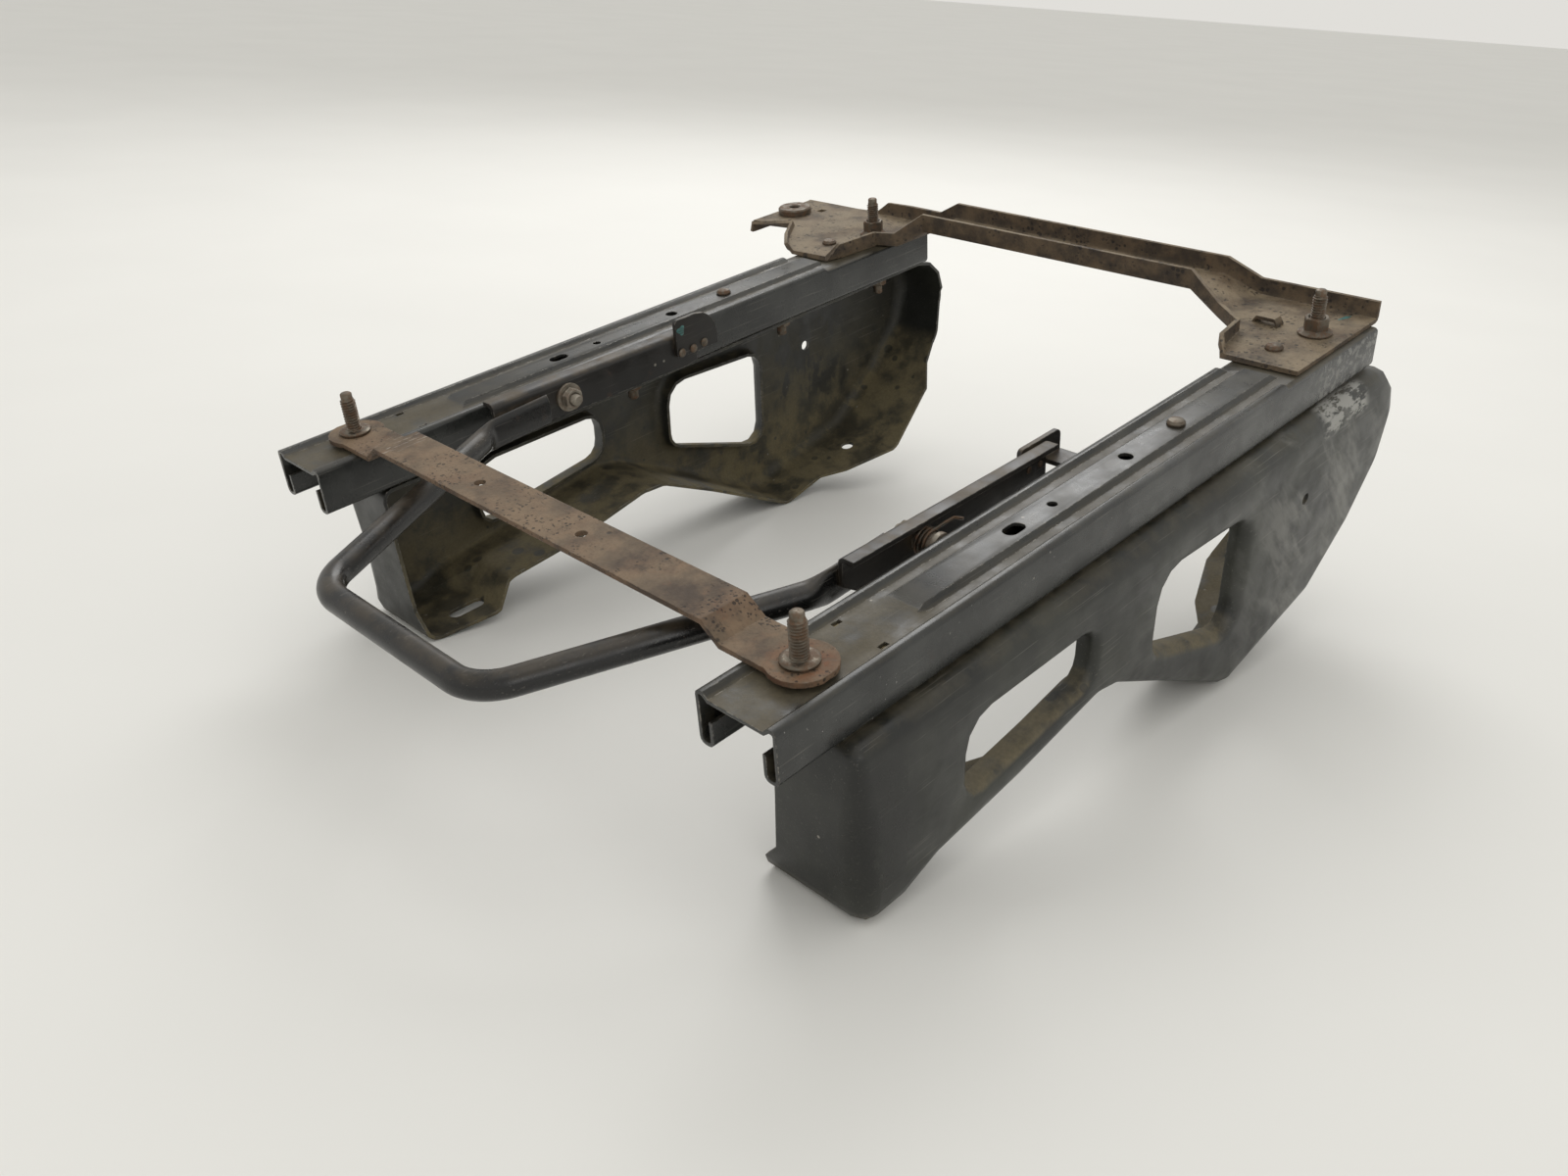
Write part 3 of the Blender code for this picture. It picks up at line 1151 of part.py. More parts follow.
def world_points(shop):
    """Every vertex of the finished pieces, in world coordinates."""
    graph = bpy.context.evaluated_depsgraph_get()
    points = []
    for obj in shop.parts.objects:
        if obj.type == "EMPTY":
            continue
        finished = obj.evaluated_get(graph)
        points += [finished.matrix_world @ vertex.co for vertex in finished.to_mesh().vertices]
        finished.to_mesh_clear()
    return points


def resting_tilt(points):
    """Angle that brings the line under the feet level: the lower hull's edge below the middle."""
    middle = sum(point.y for point in points) / len(points)
    hull = []
    for y, z in sorted({(round(point.y, 6), round(point.z, 6)) for point in points}):
        while len(hull) > 1 and ((hull[-1][0] - hull[-2][0]) * (z - hull[-2][1])
                                 <= (hull[-1][1] - hull[-2][1]) * (y - hull[-2][0])):
            hull.pop()
        hull.append((y, z))
    for front, back in zip(hull, hull[1:]):
        if front[0] <= middle <= back[0]:
            return math.atan2(front[1] - back[1], back[0] - front[0])
    return 0.0


def stand_on_floor(shop):
    """Tilts the tracks so that all four feet touch the floor, and centres the bracket over the origin."""
    bpy.context.view_layer.update()
    shop.stand.rotation_euler = (resting_tilt(world_points(shop)), 0, 0)
    bpy.context.view_layer.update()
    points = world_points(shop)
    shop.stand.location = [
        -(min(point[axis] for point in points) + max(point[axis] for point in points)) / 2 for axis in (0, 1)
    ] + [-min(point.z for point in points)]


def main():
    shop = Workshop()
    for builder in (build_riser, build_lower_rail, build_upper_rail, build_glides, build_rail_bolts,
                    build_front_stud, build_rear_stud, build_rail_rivets, build_arm, build_latch_plate,
                    build_latch_rivets, build_pivot, build_lever_spring):
        mirrored_pair(builder, shop)
    build_front_strap(shop)
    build_rear_channel(shop)
    build_anchor_boss(shop)
    build_adjuster_bar(shop)
    stand_on_floor(shop)


main()
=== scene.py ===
"""Looks of a seat riser bracket: worn black paint, rust, road dust and bright threads.

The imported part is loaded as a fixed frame. Its pressed sheets, rails and pins keep their own solids and get
procedural finishes; the threaded studs, the nuts, the bent tube and some small details are modelled here in
the tracks' own frame: X across the seat, Y along the rails, Z up, in millimetres.
"""

import json
import logging
import math
from dataclasses import dataclass, field
from enum import Enum
from functools import partial, reduce
from typing import Any, Callable, Iterable, Sequence

import bmesh
import bpy
from mathutils import Matrix, Vector

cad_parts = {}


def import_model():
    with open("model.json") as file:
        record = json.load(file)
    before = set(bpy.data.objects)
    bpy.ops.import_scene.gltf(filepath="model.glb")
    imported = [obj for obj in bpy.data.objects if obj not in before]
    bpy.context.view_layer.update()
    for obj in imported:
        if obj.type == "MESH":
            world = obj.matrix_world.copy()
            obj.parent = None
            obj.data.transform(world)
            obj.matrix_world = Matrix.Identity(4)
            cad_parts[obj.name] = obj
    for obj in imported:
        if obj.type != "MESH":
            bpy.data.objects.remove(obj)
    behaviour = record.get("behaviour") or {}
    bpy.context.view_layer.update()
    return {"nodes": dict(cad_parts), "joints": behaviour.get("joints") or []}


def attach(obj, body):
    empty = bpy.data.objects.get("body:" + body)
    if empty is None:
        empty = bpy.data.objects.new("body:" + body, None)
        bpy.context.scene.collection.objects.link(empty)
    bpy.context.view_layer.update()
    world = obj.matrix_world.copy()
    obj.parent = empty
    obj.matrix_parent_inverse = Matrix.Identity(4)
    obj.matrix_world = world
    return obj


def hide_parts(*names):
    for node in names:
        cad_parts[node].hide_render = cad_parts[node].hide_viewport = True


LOG = logging.getLogger("seat_riser_bracket")

MM = 0.001
RAIL_HALF_SPACING = 200.0
FRONT_STUD_Y = 42.5
REAR_STUD_Y = 548.0
PIVOT_IN_TRACKS = Vector((0.0, 178.0, -8.0))
CRISP_FOLD = 36.0
PHOTO_WIDTH = 1600
PHOTO_FOCAL_PIXELS = 1345.7
SENSOR_WIDTH = 36.0

Triple = tuple[float, float, float]


class Side(Enum):
    """The two tracks, by the sign of X."""

    RIGHT = 1
    LEFT = -1

    @property
    def word(self) -> str:
        """The side's name as the frame's nodes have it."""
        return self.name.lower()


class Body(Enum):
    """The frame's rigid bodies."""

    BASE = "base"
    CARRIAGE = "carriage"
    LEVER = "lever"


def srgb(code: str) -> tuple[float, float, float, float]:
    """Turns an sRGB hex value into a linear colour.

    Args:
        code: Six hex digits, with or without a leading hash.

    Returns:
        Linear red, green and blue with an alpha of 1.
    """
    digits = code.lstrip("#")
    values = [int(digits[k:k + 2], 16) / 255 for k in (0, 2, 4)]
    linear = [v / 12.92 if v <= 0.04045 else ((v + 0.055) / 1.055) ** 2.4 for v in values]
    return (linear[0], linear[1], linear[2], 1.0)


def dimmed(code: str, share: float) -> tuple[float, float, float, float]:
    """The linear colour of an sRGB hex value with only a share of its light left."""
    red, green, blue, alpha = srgb(code)
    return (red * share, green * share, blue * share, alpha)


@dataclass(frozen=True)
class TrackFrame:
    """Where the tracks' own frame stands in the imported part's frame."""

    tilt: float
    origin: Vector

    @classmethod
    def from_joints(cls, joints: Sequence[dict[str, Any]]) -> "TrackFrame":
        """Works the frame out from the slide's direction and the lever's pivot.

        Args:
            joints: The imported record's joints.

        Returns:
            The tracks' tilt and the place of their origin, in metres.
        """
        slide = next(joint for joint in joints if joint["type"] == "slide")
        hinge = next(joint for joint in joints if joint["type"] == "hinge")
        tilt = math.atan2(slide["axis"][2], slide["axis"][1])
        turn = Matrix.Rotation(tilt, 3, "X")
        return cls(tilt, Vector(hinge["pos_m"]) - turn @ (PIVOT_IN_TRACKS * MM))

    @property
    def matrix(self) -> Matrix:
        """From track millimetres to metres in the part's frame."""
        return Matrix.Translation(self.origin) @ Matrix.Rotation(self.tilt, 4, "X") @ Matrix.Scale(MM, 4)


# Node trees


def add(tree: bpy.types.NodeTree, kind: str, inputs: dict[Any, Any] | None = None,
        **settings: Any) -> bpy.types.Node:
    """Adds a node with its settings, values and links.

    Args:
        tree: The tree that gets the node.
        kind: The node's type, without the prefix that shader nodes share.
        inputs: Input names or indices, each with a value or a socket to link from.
        **settings: Properties of the node.

    Returns:
        The new node.
    """
    node = tree.nodes.new(kind if kind.startswith(("Geometry", "Function", "Node")) else "ShaderNode" + kind)
    for name, value in settings.items():
        setattr(node, name, value)
    for key, value in (inputs or {}).items():
        if isinstance(value, bpy.types.NodeSocket):
            tree.links.new(value, node.inputs[key])
        else:
            node.inputs[key].default_value = value
    return node


class Recipe:
    """The shared ingredients of a finish: where a point is, which way it faces, its grain and its edges."""

    def __init__(self, name: str, frame: TrackFrame) -> None:
        """Starts a material whose patterns are measured in the tracks' millimetres.

        Args:
            name: The material's name.
            frame: The tracks' frame.
        """
        self.material = bpy.data.materials.new(name)
        self.material.use_nodes = True
        self.tree = self.material.node_tree
        self.shader = self.tree.nodes["Principled BSDF"]
        back = Matrix.Rotation(-frame.tilt, 3, "X")
        coords = add(self.tree, "TexCoord")
        self.point = add(self.tree, "Mapping", {
            "Vector": coords.outputs["Object"], "Location": -(back @ frame.origin) / MM,
            "Rotation": (-frame.tilt, 0, 0), "Scale": (1 / MM, 1 / MM, 1 / MM)}).outputs[0]
        self.geometry = add(self.tree, "NewGeometry")
        split = add(self.tree, "SeparateXYZ", {0: self.point})
        self.x, self.y, self.z = split.outputs
        facing = add(self.tree, "SeparateXYZ", {0: self.geometry.outputs["Normal"]})
        self.facing_x, _, self.up = facing.outputs
        self.rounded: bpy.types.Node | None = None

    def math(self, operation: str, a: Any, b: Any = 0.0, clamp: bool = False) -> bpy.types.NodeSocket:
        """One arithmetic step between two sockets or numbers."""
        return add(self.tree, "Math", {0: a, 1: b}, operation=operation, use_clamp=clamp).outputs[0]

    def ramp(self, value: Any, start: float, end: float) -> bpy.types.NodeSocket:
        """Rises smoothly from 0 at start to 1 at end; falls where start is above end."""
        low, high, first, last = (start, end, 0.0, 1.0) if start < end else (end, start, 1.0, 0.0)
        return add(self.tree, "MapRange", {"Value": value, "From Min": low, "From Max": high,
                                           "To Min": first, "To Max": last},
                   interpolation_type="SMOOTHSTEP").outputs[0]

    def grain(self, size: float, detail: float = 4.0, rough: float = 0.55,
              stretch: Triple = (1.0, 1.0, 1.0)) -> bpy.types.NodeSocket:
        """Cloudy noise.

        Args:
            size: Width of a cloud in millimetres.
            detail: Octaves of finer noise.
            rough: How strong the finer noise is.
            stretch: Times the size along X, Y and Z.

        Returns:
            A value round 0.5.
        """
        spot = self.point
        if stretch != (1.0, 1.0, 1.0):
            spot = add(self.tree, "Mapping", {
                "Vector": self.point, "Scale": tuple(1 / value for value in stretch)}).outputs[0]
        return add(self.tree, "TexNoise", {
            "Vector": spot, "Scale": 1 / size, "Detail": detail, "Roughness": rough}).outputs[0]

    def specks(self, spacing: float, radius: float) -> bpy.types.NodeSocket:
        """Round specks of uneven size, 1 inside and 0 outside.

        Args:
            spacing: Distance between specks in millimetres.
            radius: Radius of the largest specks in millimetres.

        Returns:
            The specks' mask.
        """
        cells = add(self.tree, "TexVoronoi", {"Vector": self.point, "Scale": 1 / spacing})
        size = add(self.tree, "SeparateXYZ", {0: cells.outputs["Color"]}).outputs[0]
        limit = self.math("MULTIPLY", size, radius / spacing)
        inside = self.math("SUBTRACT", limit, cells.outputs["Distance"])
        return self.ramp(inside, 0.0, 0.06)

    def edges(self, radius: float) -> bpy.types.NodeSocket:
        """The sharp edges of a piece, which the finished surface then also rounds.

        Args:
            radius: Width of the rounding in millimetres.

        Returns:
            1 along the edges, fading out over the radius.
        """
        self.rounded = add(self.tree, "Bevel", {"Radius": radius * MM}, samples=4)
        product = add(self.tree, "VectorMath", {
            0: self.rounded.outputs[0], 1: self.geometry.outputs["Normal"]}, operation="DOT_PRODUCT")
        return self.ramp(product.outputs["Value"], 0.985, 0.90)

    def crevice(self, reach: float) -> bpy.types.NodeSocket:
        """1 deep in corners within reach millimetres, 0 in the open."""
        shade = add(self.tree, "AmbientOcclusion", {"Distance": reach * MM}, samples=4, only_local=False)
        return self.ramp(shade.outputs["AO"], 0.75, 0.2)

    def blend(self, factor: Any, under: Any, over: Any) -> bpy.types.NodeSocket:
        """Lays one colour over another by factor."""
        mix = add(self.tree, "Mix", {0: factor, 6: under, 7: over}, data_type="RGBA")
        return mix.outputs[2]

    def raised(self, value: Any, mask: Any, share: float) -> bpy.types.NodeSocket:
        """A value raised by a share of a mask, up to 1."""
        return self.math("ADD", value, self.math("MULTIPLY", mask, share), clamp=True)

    def product(self, *values: Any) -> bpy.types.NodeSocket:
        """Several masks multiplied."""
        return reduce(partial(self.math, "MULTIPLY"), values)

    def either(self, *values: Any) -> bpy.types.NodeSocket:
        """The strongest of several masks."""
        return reduce(partial(self.math, "MAXIMUM"), values)

    def inside(self, value: Any, low: float, high: float, soft: float = 4.0) -> bpy.types.NodeSocket:
        """1 while value lies between low and high, with soft borders."""
        return self.product(self.ramp(value, low - soft, low), self.ramp(value, high + soft, high))

    def finish(self, colour: Any, roughness: Any, metallic: Any, height: Any,
               depth: float) -> bpy.types.Material:
        """Links the results to the shader.

        Args:
            colour: Base colour.
            roughness: Roughness.
            metallic: How much bare metal shows.
            height: Relief, 0 to 1.
            depth: Height of the relief in millimetres.

        Returns:
            The finished material.
        """
        for name, value in (("Base Color", colour), ("Roughness", roughness), ("Metallic", metallic)):
            if isinstance(value, bpy.types.NodeSocket):
                self.tree.links.new(value, self.shader.inputs[name])
            else:
                self.shader.inputs[name].default_value = value
        bump = add(self.tree, "Bump", {"Strength": 1.0, "Distance": depth * MM, "Height": height})
        if self.rounded is not None:
            self.tree.links.new(self.rounded.outputs[0], bump.inputs["Normal"])
        self.tree.links.new(bump.outputs[0], self.shader.inputs["Normal"])
        return self.material


Mask = Callable[[Recipe], bpy.types.NodeSocket]


# Finishes


@dataclass(frozen=True)
class StovedPaint:
    """Black chassis enamel, dipped and stoved on rolled steel, dusty and bright at its edges: worn bare, and
    on the upper rails partly a painted highlight.

    The widths are those of the patterns and skin is the relief's height, in millimetres. The masks add what
    only one piece has.
    """

    name: str
    paint: str = "#191817"
    faded: str = "#2b2a29"
    dust: str = "#75664f"
    rust: str = "#4d3220"
    bare: str = "#a29d94"
    gloss_roughness: float = 0.34
    dust_on_top: float = 0.35
    dust_in_corners: float = 0.55
    rust_amount: float = 0.25
    bright_edges: float = 0.8
    cloud_width: float = 55.0
    sheen_width: float = 18.0
    line_width: float = 1.1
    line_length: float = 60.0
    grit_width: float = 2.2
    settled_width: float = 22.0
    caught_width: float = 9.0
    corner_reach: float = 14.0
    bloom_width: float = 13.0
    chip_spacing: float = 11.0
    chip_radius: float = 1.5
    edge_width: float = 0.9
    skin: float = 0.16
    bands: Mask | None = None
    pale_marks: Mask | None = None
    painted_shade: Mask | None = None

    def build(self, frame: TrackFrame) -> bpy.types.Material:
        """Makes the material.

        Args:
            frame: The tracks' frame, which the patterns are measured in.

        Returns:
            The material.
        """
        r = Recipe(self.name, frame)
        clouds = r.grain(self.cloud_width, 5)
        fine = r.grain(self.grit_width, 6, 0.65)
        # the enamel has faded unevenly, in soft clouds a few centimetres wide
        colour = r.blend(r.ramp(clouds, 0.35, 0.7), srgb(self.paint), srgb(self.faded))
        sheen = r.ramp(r.grain(self.sheen_width, 5), 0.3, 0.75)
        roughness = r.math("ADD", self.gloss_roughness, r.math("MULTIPLY", sheen, 0.16))
        # fine rubbed lines along the rails
        lines = r.ramp(r.grain(self.line_width, 3, 0.6, (1.0, self.line_length, 1.0)), 0.62, 0.70)
        colour = r.blend(r.product(lines, 0.16), colour, srgb(self.bare))
        edges = r.edges(self.edge_width)
        corner = r.crevice(self.corner_reach)
        # dust settles on what faces up and in every corner, broken up by handling
        patches = r.ramp(r.grain(self.settled_width, 6, 0.65), 0.36, 0.62)
        settled = r.product(r.ramp(r.up, 0.25, 0.95), self.dust_on_top, patches)
        caught = r.product(corner, self.dust_in_corners, r.ramp(r.grain(self.caught_width, 5), 0.3, 0.6))
        dust_and_light = r.either(settled, caught)
        # the bands: dust in the grooves and trays, and inside the trays also painted light growing towards
        # the bottom
        if self.bands is not None:
            dust_and_light = r.either(dust_and_light, r.product(self.bands(r), r.ramp(r.grain(19, 5, 0.55), 0.18, 0.58)))
        dust_and_light = r.math("MINIMUM", dust_and_light, 0.93)
        if self.painted_shade is not None:
            # painted shade: near black where shade falls, with the dust taken out and the surface made
            # glossier
            shade_mask = self.painted_shade(r)
            dust_and_light = r.product(dust_and_light, r.math("SUBTRACT", 1.0, shade_mask))
            colour = r.blend(r.product(shade_mask, 0.7), colour, srgb("#0b0b0a"))
            roughness = r.math("SUBTRACT", roughness, r.product(shade_mask, 0.12))
        shade = r.blend(r.ramp(fine, 0.2, 0.95), srgb(self.dust), dimmed(self.dust, 0.62))
        colour = r.blend(dust_and_light, colour, shade)
        roughness = r.raised(roughness, dust_and_light, 0.45)
        # pale marks: chalky scuffs, and on the near riser's rear shoulder also a painted highlight
        if self.pale_marks is not None:
            pale_mask = self.pale_marks(r)
            colour = r.blend(r.math("MULTIPLY", pale_mask, 0.5, clamp=True), colour, srgb("#9a9994"))
            roughness = r.raised(roughness, pale_mask, 0.2)
        # rust blooms where the coat broke, mostly beside edges
        bloom = r.product(r.ramp(r.grain(self.bloom_width, 7, 0.7), 0.60, 0.70), self.rust_amount,
                          r.math("ADD", 0.35, r.math("MULTIPLY", edges, 0.65)))
        colour = r.blend(bloom, colour, srgb(self.rust))
        roughness = r.raised(roughness, bloom, 0.4)
        # small chips in clusters, and edges rubbed to bright steel; on the upper rails the bright edges are
        # also a painted highlight
        clusters = r.ramp(r.grain(40, 3), 0.56, 0.66)
        chips = r.product(r.specks(self.chip_spacing, self.chip_radius), clusters, 0.7)
        bright_edge_mask = r.product(edges, r.ramp(r.grain(6, 6, 0.7), 0.47, 0.60), self.bright_edges)
        bright = r.either(chips, bright_edge_mask)
        colour = r.blend(bright, colour, srgb(self.bare))
        metallic = r.product(bright, 0.85)
        relief = r.math("ADD", r.product(r.grain(0.9, 3), 0.35), r.product(dust_and_light, fine))
        relief = r.math("SUBTRACT", relief, r.product(bright, 0.6))
        return r.finish(colour, roughness, metallic, relief, self.skin)


@dataclass(frozen=True)
class MillScaleRust:
    """Bare hot-rolled steel gone brown: clouds of old rust, dark mill scale, pits, and dust over it.

    The widths are those of the patterns, in millimetres. The masks add what only one piece has.
    """

    name: str
    scale: str = "#2c231c"
    old_rust: str = "#4f3a2a"
    fresh_rust: str = "#7a4a26"
    dust: str = "#7d6b54"
    bare: str = "#9b9084"
    dust_amount: float = 0.3
    fresh_amount: float = 0.3
    pit_spacing: float = 5.0
    cloud_width: float = 26.0
    fresh_width: float = 11.0
    dust_width: float = 30.0
    grit_width: float = 1.6
    corner_reach: float = 12.0
    edge_width: float = 0.9
    relief_depth: float = 0.3
    marks: Mask | None = None
    stain: Mask | None = None

    def build(self, frame: TrackFrame) -> bpy.types.Material:
        """Makes the material.

        Args:
            frame: The tracks' frame, which the patterns are measured in.

        Returns:
            The material.
        """
        r = Recipe(self.name, frame)
        fine = r.grain(self.grit_width, 7, 0.7)
        # brown clouds over near-black scale
        clouds = r.ramp(r.grain(self.cloud_width, 7, 0.65), 0.38, 0.60)
        colour = r.blend(clouds, srgb(self.scale), srgb(self.old_rust))
        fresh = r.product(r.ramp(r.grain(self.fresh_width, 7, 0.7), 0.56, 0.70), self.fresh_amount)
        if self.stain is not None:
            fresh = r.either(fresh, self.stain(r))
        colour = r.blend(fresh, colour, srgb(self.fresh_rust))
        # dry dust on the upper side
        edges = r.edges(self.edge_width)
        patches = r.ramp(r.grain(self.dust_width, 6, 0.6), 0.30, 0.62)
        settled = r.product(r.ramp(r.up, 0.2, 0.9), self.dust_amount, patches)
        settled = r.either(settled, r.product(r.crevice(self.corner_reach), self.dust_amount, 0.9))
        colour = r.blend(settled, colour, srgb(self.dust))
        colour = r.blend(r.product(r.ramp(fine, 0.45, 0.75), 0.35), colour, srgb(self.scale))
        # pits where the rust has eaten in, dark at the bottom
        clusters = r.ramp(r.grain(24, 4), 0.44, 0.56)
        pits = r.either(r.product(r.specks(self.pit_spacing * 0.5, self.pit_spacing * 0.22), clusters),
                        r.product(r.ramp(r.grain(2.4, 3, 0.6, (1.6, 1.0, 1.0)), 0.60, 0.68), clusters),
                        r.specks(self.pit_spacing * 3.3, self.pit_spacing * 0.5))
        colour = r.blend(r.product(pits, 0.75), colour, srgb("#1a1410"))
        bright = r.product(edges, r.ramp(r.grain(5, 6, 0.7), 0.50, 0.62), 0.55)
        if self.marks is not None:
            bright = r.either(bright, self.marks(r))
        colour = r.blend(bright, colour, srgb(self.bare))
        roughness = r.math("SUBTRACT", r.math("ADD", 0.62, r.product(fine, 0.25)), r.product(bright, 0.3))
        swells = r.math("ADD", r.product(fine, 0.5), r.product(r.grain(9, 5), 0.4))
        relief = r.math("SUBTRACT", swells, r.product(pits, 0.9))
        return r.finish(colour, roughness, r.product(bright, 0.8), relief, self.relief_depth)


@dataclass(frozen=True)
class ZincPlate:
    """Zinc-plated turned steel, dulled: grey metal with brown rust creeping out of every recess."""

    name: str
    plate: str = "#766e62"
    rust: str = "#46331f"
    rust_amount: float = 0.75
    roughness: float = 0.36

    def build(self, frame: TrackFrame) -> bpy.types.Material:
        """Makes the material.

        Args:
            frame: The tracks' frame, which the patterns are measured in.

        Returns:
            The material.
        """
        r = Recipe(self.name, frame)
        fine = r.grain(1.2, 6, 0.7)
        creep = r.product(r.either(r.ramp(r.grain(5, 6, 0.65), 0.42, 0.62), r.crevice(1.8)), self.rust_amount)
        colour = r.blend(r.ramp(r.grain(8, 4), 0.3, 0.7), srgb(self.plate), dimmed(self.plate, 0.6))
        edges = r.edges(0.5)
        creep = r.math("SUBTRACT", creep, r.product(edges, 0.4), clamp=True)
        colour = r.blend(creep, colour, r.blend(fine, srgb(self.rust), srgb("#6e4a2c")))
        roughness = r.raised(self.roughness, creep, 0.4)
        metallic = r.math("SUBTRACT", 0.9, r.product(creep, 0.85), clamp=True)
        return r.finish(colour, roughness, metallic, r.math("ADD", fine, r.product(creep, fine)), 0.08)


@dataclass(frozen=True)
class NaturalNylon:
    """Natural nylon 6, moulded: yellowed, waxy and smeared with old grease."""

    name: str
    resin: str = "#b9ab88"
    grease: str = "#3b3226"

    def build(self, frame: TrackFrame) -> bpy.types.Material:
        """Makes the material.

        Args:
            frame: The tracks' frame, which the patterns are measured in.

        Returns:
            The material.
        """
        r = Recipe(self.name, frame)
        smear = r.ramp(r.grain(10, 5), 0.42, 0.62)
        colour = r.blend(r.product(smear, 0.8), srgb(self.resin), srgb(self.grease))
        r.shader.inputs["Subsurface Weight"].default_value = 0.1
        r.shader.inputs["Subsurface Radius"].default_value = (0.002, 0.0015, 0.001)
        r.shader.inputs["IOR"].default_value = 1.53
        return r.finish(colour, r.math("SUBTRACT", 0.45, r.product(smear, 0.2)), 0.0, r.grain(3, 4), 0.05)


@dataclass(frozen=True)
class PaintDab:
    """A dab of teal marking paint, brushed on by hand over the steel."""

    name: str = "marking_paint_teal_brushed"
    colour: str = "#3f6f6c"

    def build(self, frame: TrackFrame) -> bpy.types.Material:
        """Makes the material.

        Args:
            frame: The tracks' frame, which the patterns are measured in.

        Returns:
            The material.
        """
        r = Recipe(self.name, frame)
        streaks = r.grain(1.5, 4, 0.6, (1.0, 5.0, 1.0))
        colour = r.blend(r.ramp(streaks, 0.35, 0.7), srgb(self.colour), srgb("#27423f"))
        return r.finish(colour, 0.5, 0.0, streaks, 0.15)


Finish = StovedPaint | MillScaleRust | ZincPlate | NaturalNylon | PaintDab


# Masks of single pieces, with places and widths in the tracks' millimetres


def groove_dust(r: Recipe) -> bpy.types.NodeSocket:
    """Dust packed in an upper rail's two grooves and along its front end.

    Args:
        r: The finish that asks for it.

    Returns:
        The mask, 0 to 1.
    """
    low = r.product(r.ramp(r.z, -1.2, -2.6), r.ramp(r.z, -6.0, -4.5), r.ramp(r.up, 0.5, 0.9))
    front = r.product(r.ramp(r.y, 150, 70), 0.3)
    return r.product(low, r.math("ADD", 0.5, front))


def tray_dust(r: Recipe, side: Side) -> bpy.types.NodeSocket:
    """Dust and painted light inside a riser's tray, both growing towards the bottom and on the up-facing
    floor.

    Args:
        r: The finish that asks for it.
        side: Which riser.

    Returns:
        The mask, 0 to 1.
    """
    inwards = r.ramp(r.math("MULTIPLY", r.facing_x, float(-side.value)), 0.15, 0.7)
    depth = r.math("ADD", r.math("MULTIPLY", r.z, -1.0), r.math("MULTIPLY", r.y, -0.08))
    bottom = r.ramp(depth, 30, 165)
    # the up-facing floor: dust, and partly painted light where it faces the light
    floor = r.product(r.ramp(r.up, 0.2, 0.6), r.ramp(r.z, -60, -90), 0.95)
    oily = r.math("ADD", 0.3, r.product(r.ramp(r.grain(48, 7, 0.62), 0.62, 0.50), 0.7))
    spots = r.math("SUBTRACT", 1.0, r.product(r.specks(16, 5.0), 0.7))
    wall = r.product(inwards, r.math("ADD", 0.10, r.product(bottom, 0.9)))
    return r.product(r.either(wall, floor), oily, spots)


def corner_oil(r: Recipe) -> bpy.types.NodeSocket:
    """Painted shade: a dark band down the near riser's rounded front corner."""
    along = r.product(r.inside(r.y, 48, 72, 16), r.inside(r.z, -118, -56, 26))
    return r.product(along, r.ramp(r.grain(17, 5, 0.6, (1.0, 1.0, 2.6)), 0.34, 0.46))


def inner_oil(r: Recipe) -> bpy.types.NodeSocket:
    """Painted shade: dark patches on the far riser's inner face, behind the window and under the rail.

    Args:
        r: The finish that asks for it.

    Returns:
        The mask, 0 to 1.
    """
    rear = r.product(r.inside(r.y, 440, 520, 40), r.inside(r.z, -130, -60, 30))
    high = r.ramp(r.z, -75, -45)
    return r.product(r.either(rear, high), r.ramp(r.grain(24, 5, 0.6, (1.0, 1.0, 1.7)), 0.50, 0.58), 0.85)


def rear_chalk(r: Recipe) -> bpy.types.NodeSocket:
    """Pale scuffs that run slantwise over the near riser's rear half, and a pale patch on its rear shoulder,
    partly a scuff and partly a painted highlight.

    Args:
        r: The finish that asks for it.

    Returns:
        The mask, 0 to 1.
    """
    slant = add(r.tree, "Mapping", {"Vector": r.point, "Rotation": (math.radians(48), 0, 0)}).outputs[0]
    streaks = add(r.tree, "TexNoise", {
        "Vector": add(r.tree, "Mapping", {"Vector": slant, "Scale": (1, 0.22, 1)}).outputs[0],
        "Scale": 1 / 22, "Detail": 7.0, "Roughness": 0.62}).outputs[0]
    web = r.product(r.ramp(streaks, 0.46, 0.64), r.ramp(r.y, 380, 500), r.ramp(r.x, 215, 235))
    # the rear shoulder: a scuff, and partly a painted highlight on the convex bend
    shoulder = r.product(r.inside(r.y, 512, 562, 12), r.inside(r.z, -50, -36, 6), r.ramp(r.x, 218, 226))
    scuff_and_highlight = r.product(shoulder, r.ramp(r.grain(6, 6, 0.7, (1.0, 2.5, 1.0)), 0.44, 0.52), 1.9)
    return r.either(web, scuff_and_highlight)


def rail_chalk(r: Recipe) -> bpy.types.NodeSocket:
    """White mottles on the near rail's wall, at its rear end and in small chips at its front.

    Args:
        r: The finish that asks for it.

    Returns:
        The mask, 0 to 1.
    """
    wall = r.product(r.ramp(r.facing_x, 0.7, 0.95), r.ramp(r.x, 222, 225))
    rear = r.product(r.ramp(r.y, 480, 530), r.ramp(r.grain(5, 6, 0.7), 0.48, 0.58))
    front = r.product(r.ramp(r.y, 260, 60), r.ramp(r.grain(3.0, 4, 0.6), 0.685, 0.72))
    return r.product(wall, r.math("MINIMUM", r.math("ADD", rear, r.product(front, 1.5)), 1.5))


def joggle_scratches(r: Recipe) -> bpy.types.NodeSocket:
    """Bright scratches across the strap's left end, where a tool has slipped."""
    streaks = r.ramp(r.grain(1.0, 2, 0.5, (1.0, 9.0, 1.0)), 0.60, 0.66)
    return r.product(streaks, r.inside(r.x, -168, -138, 8), 0.8)


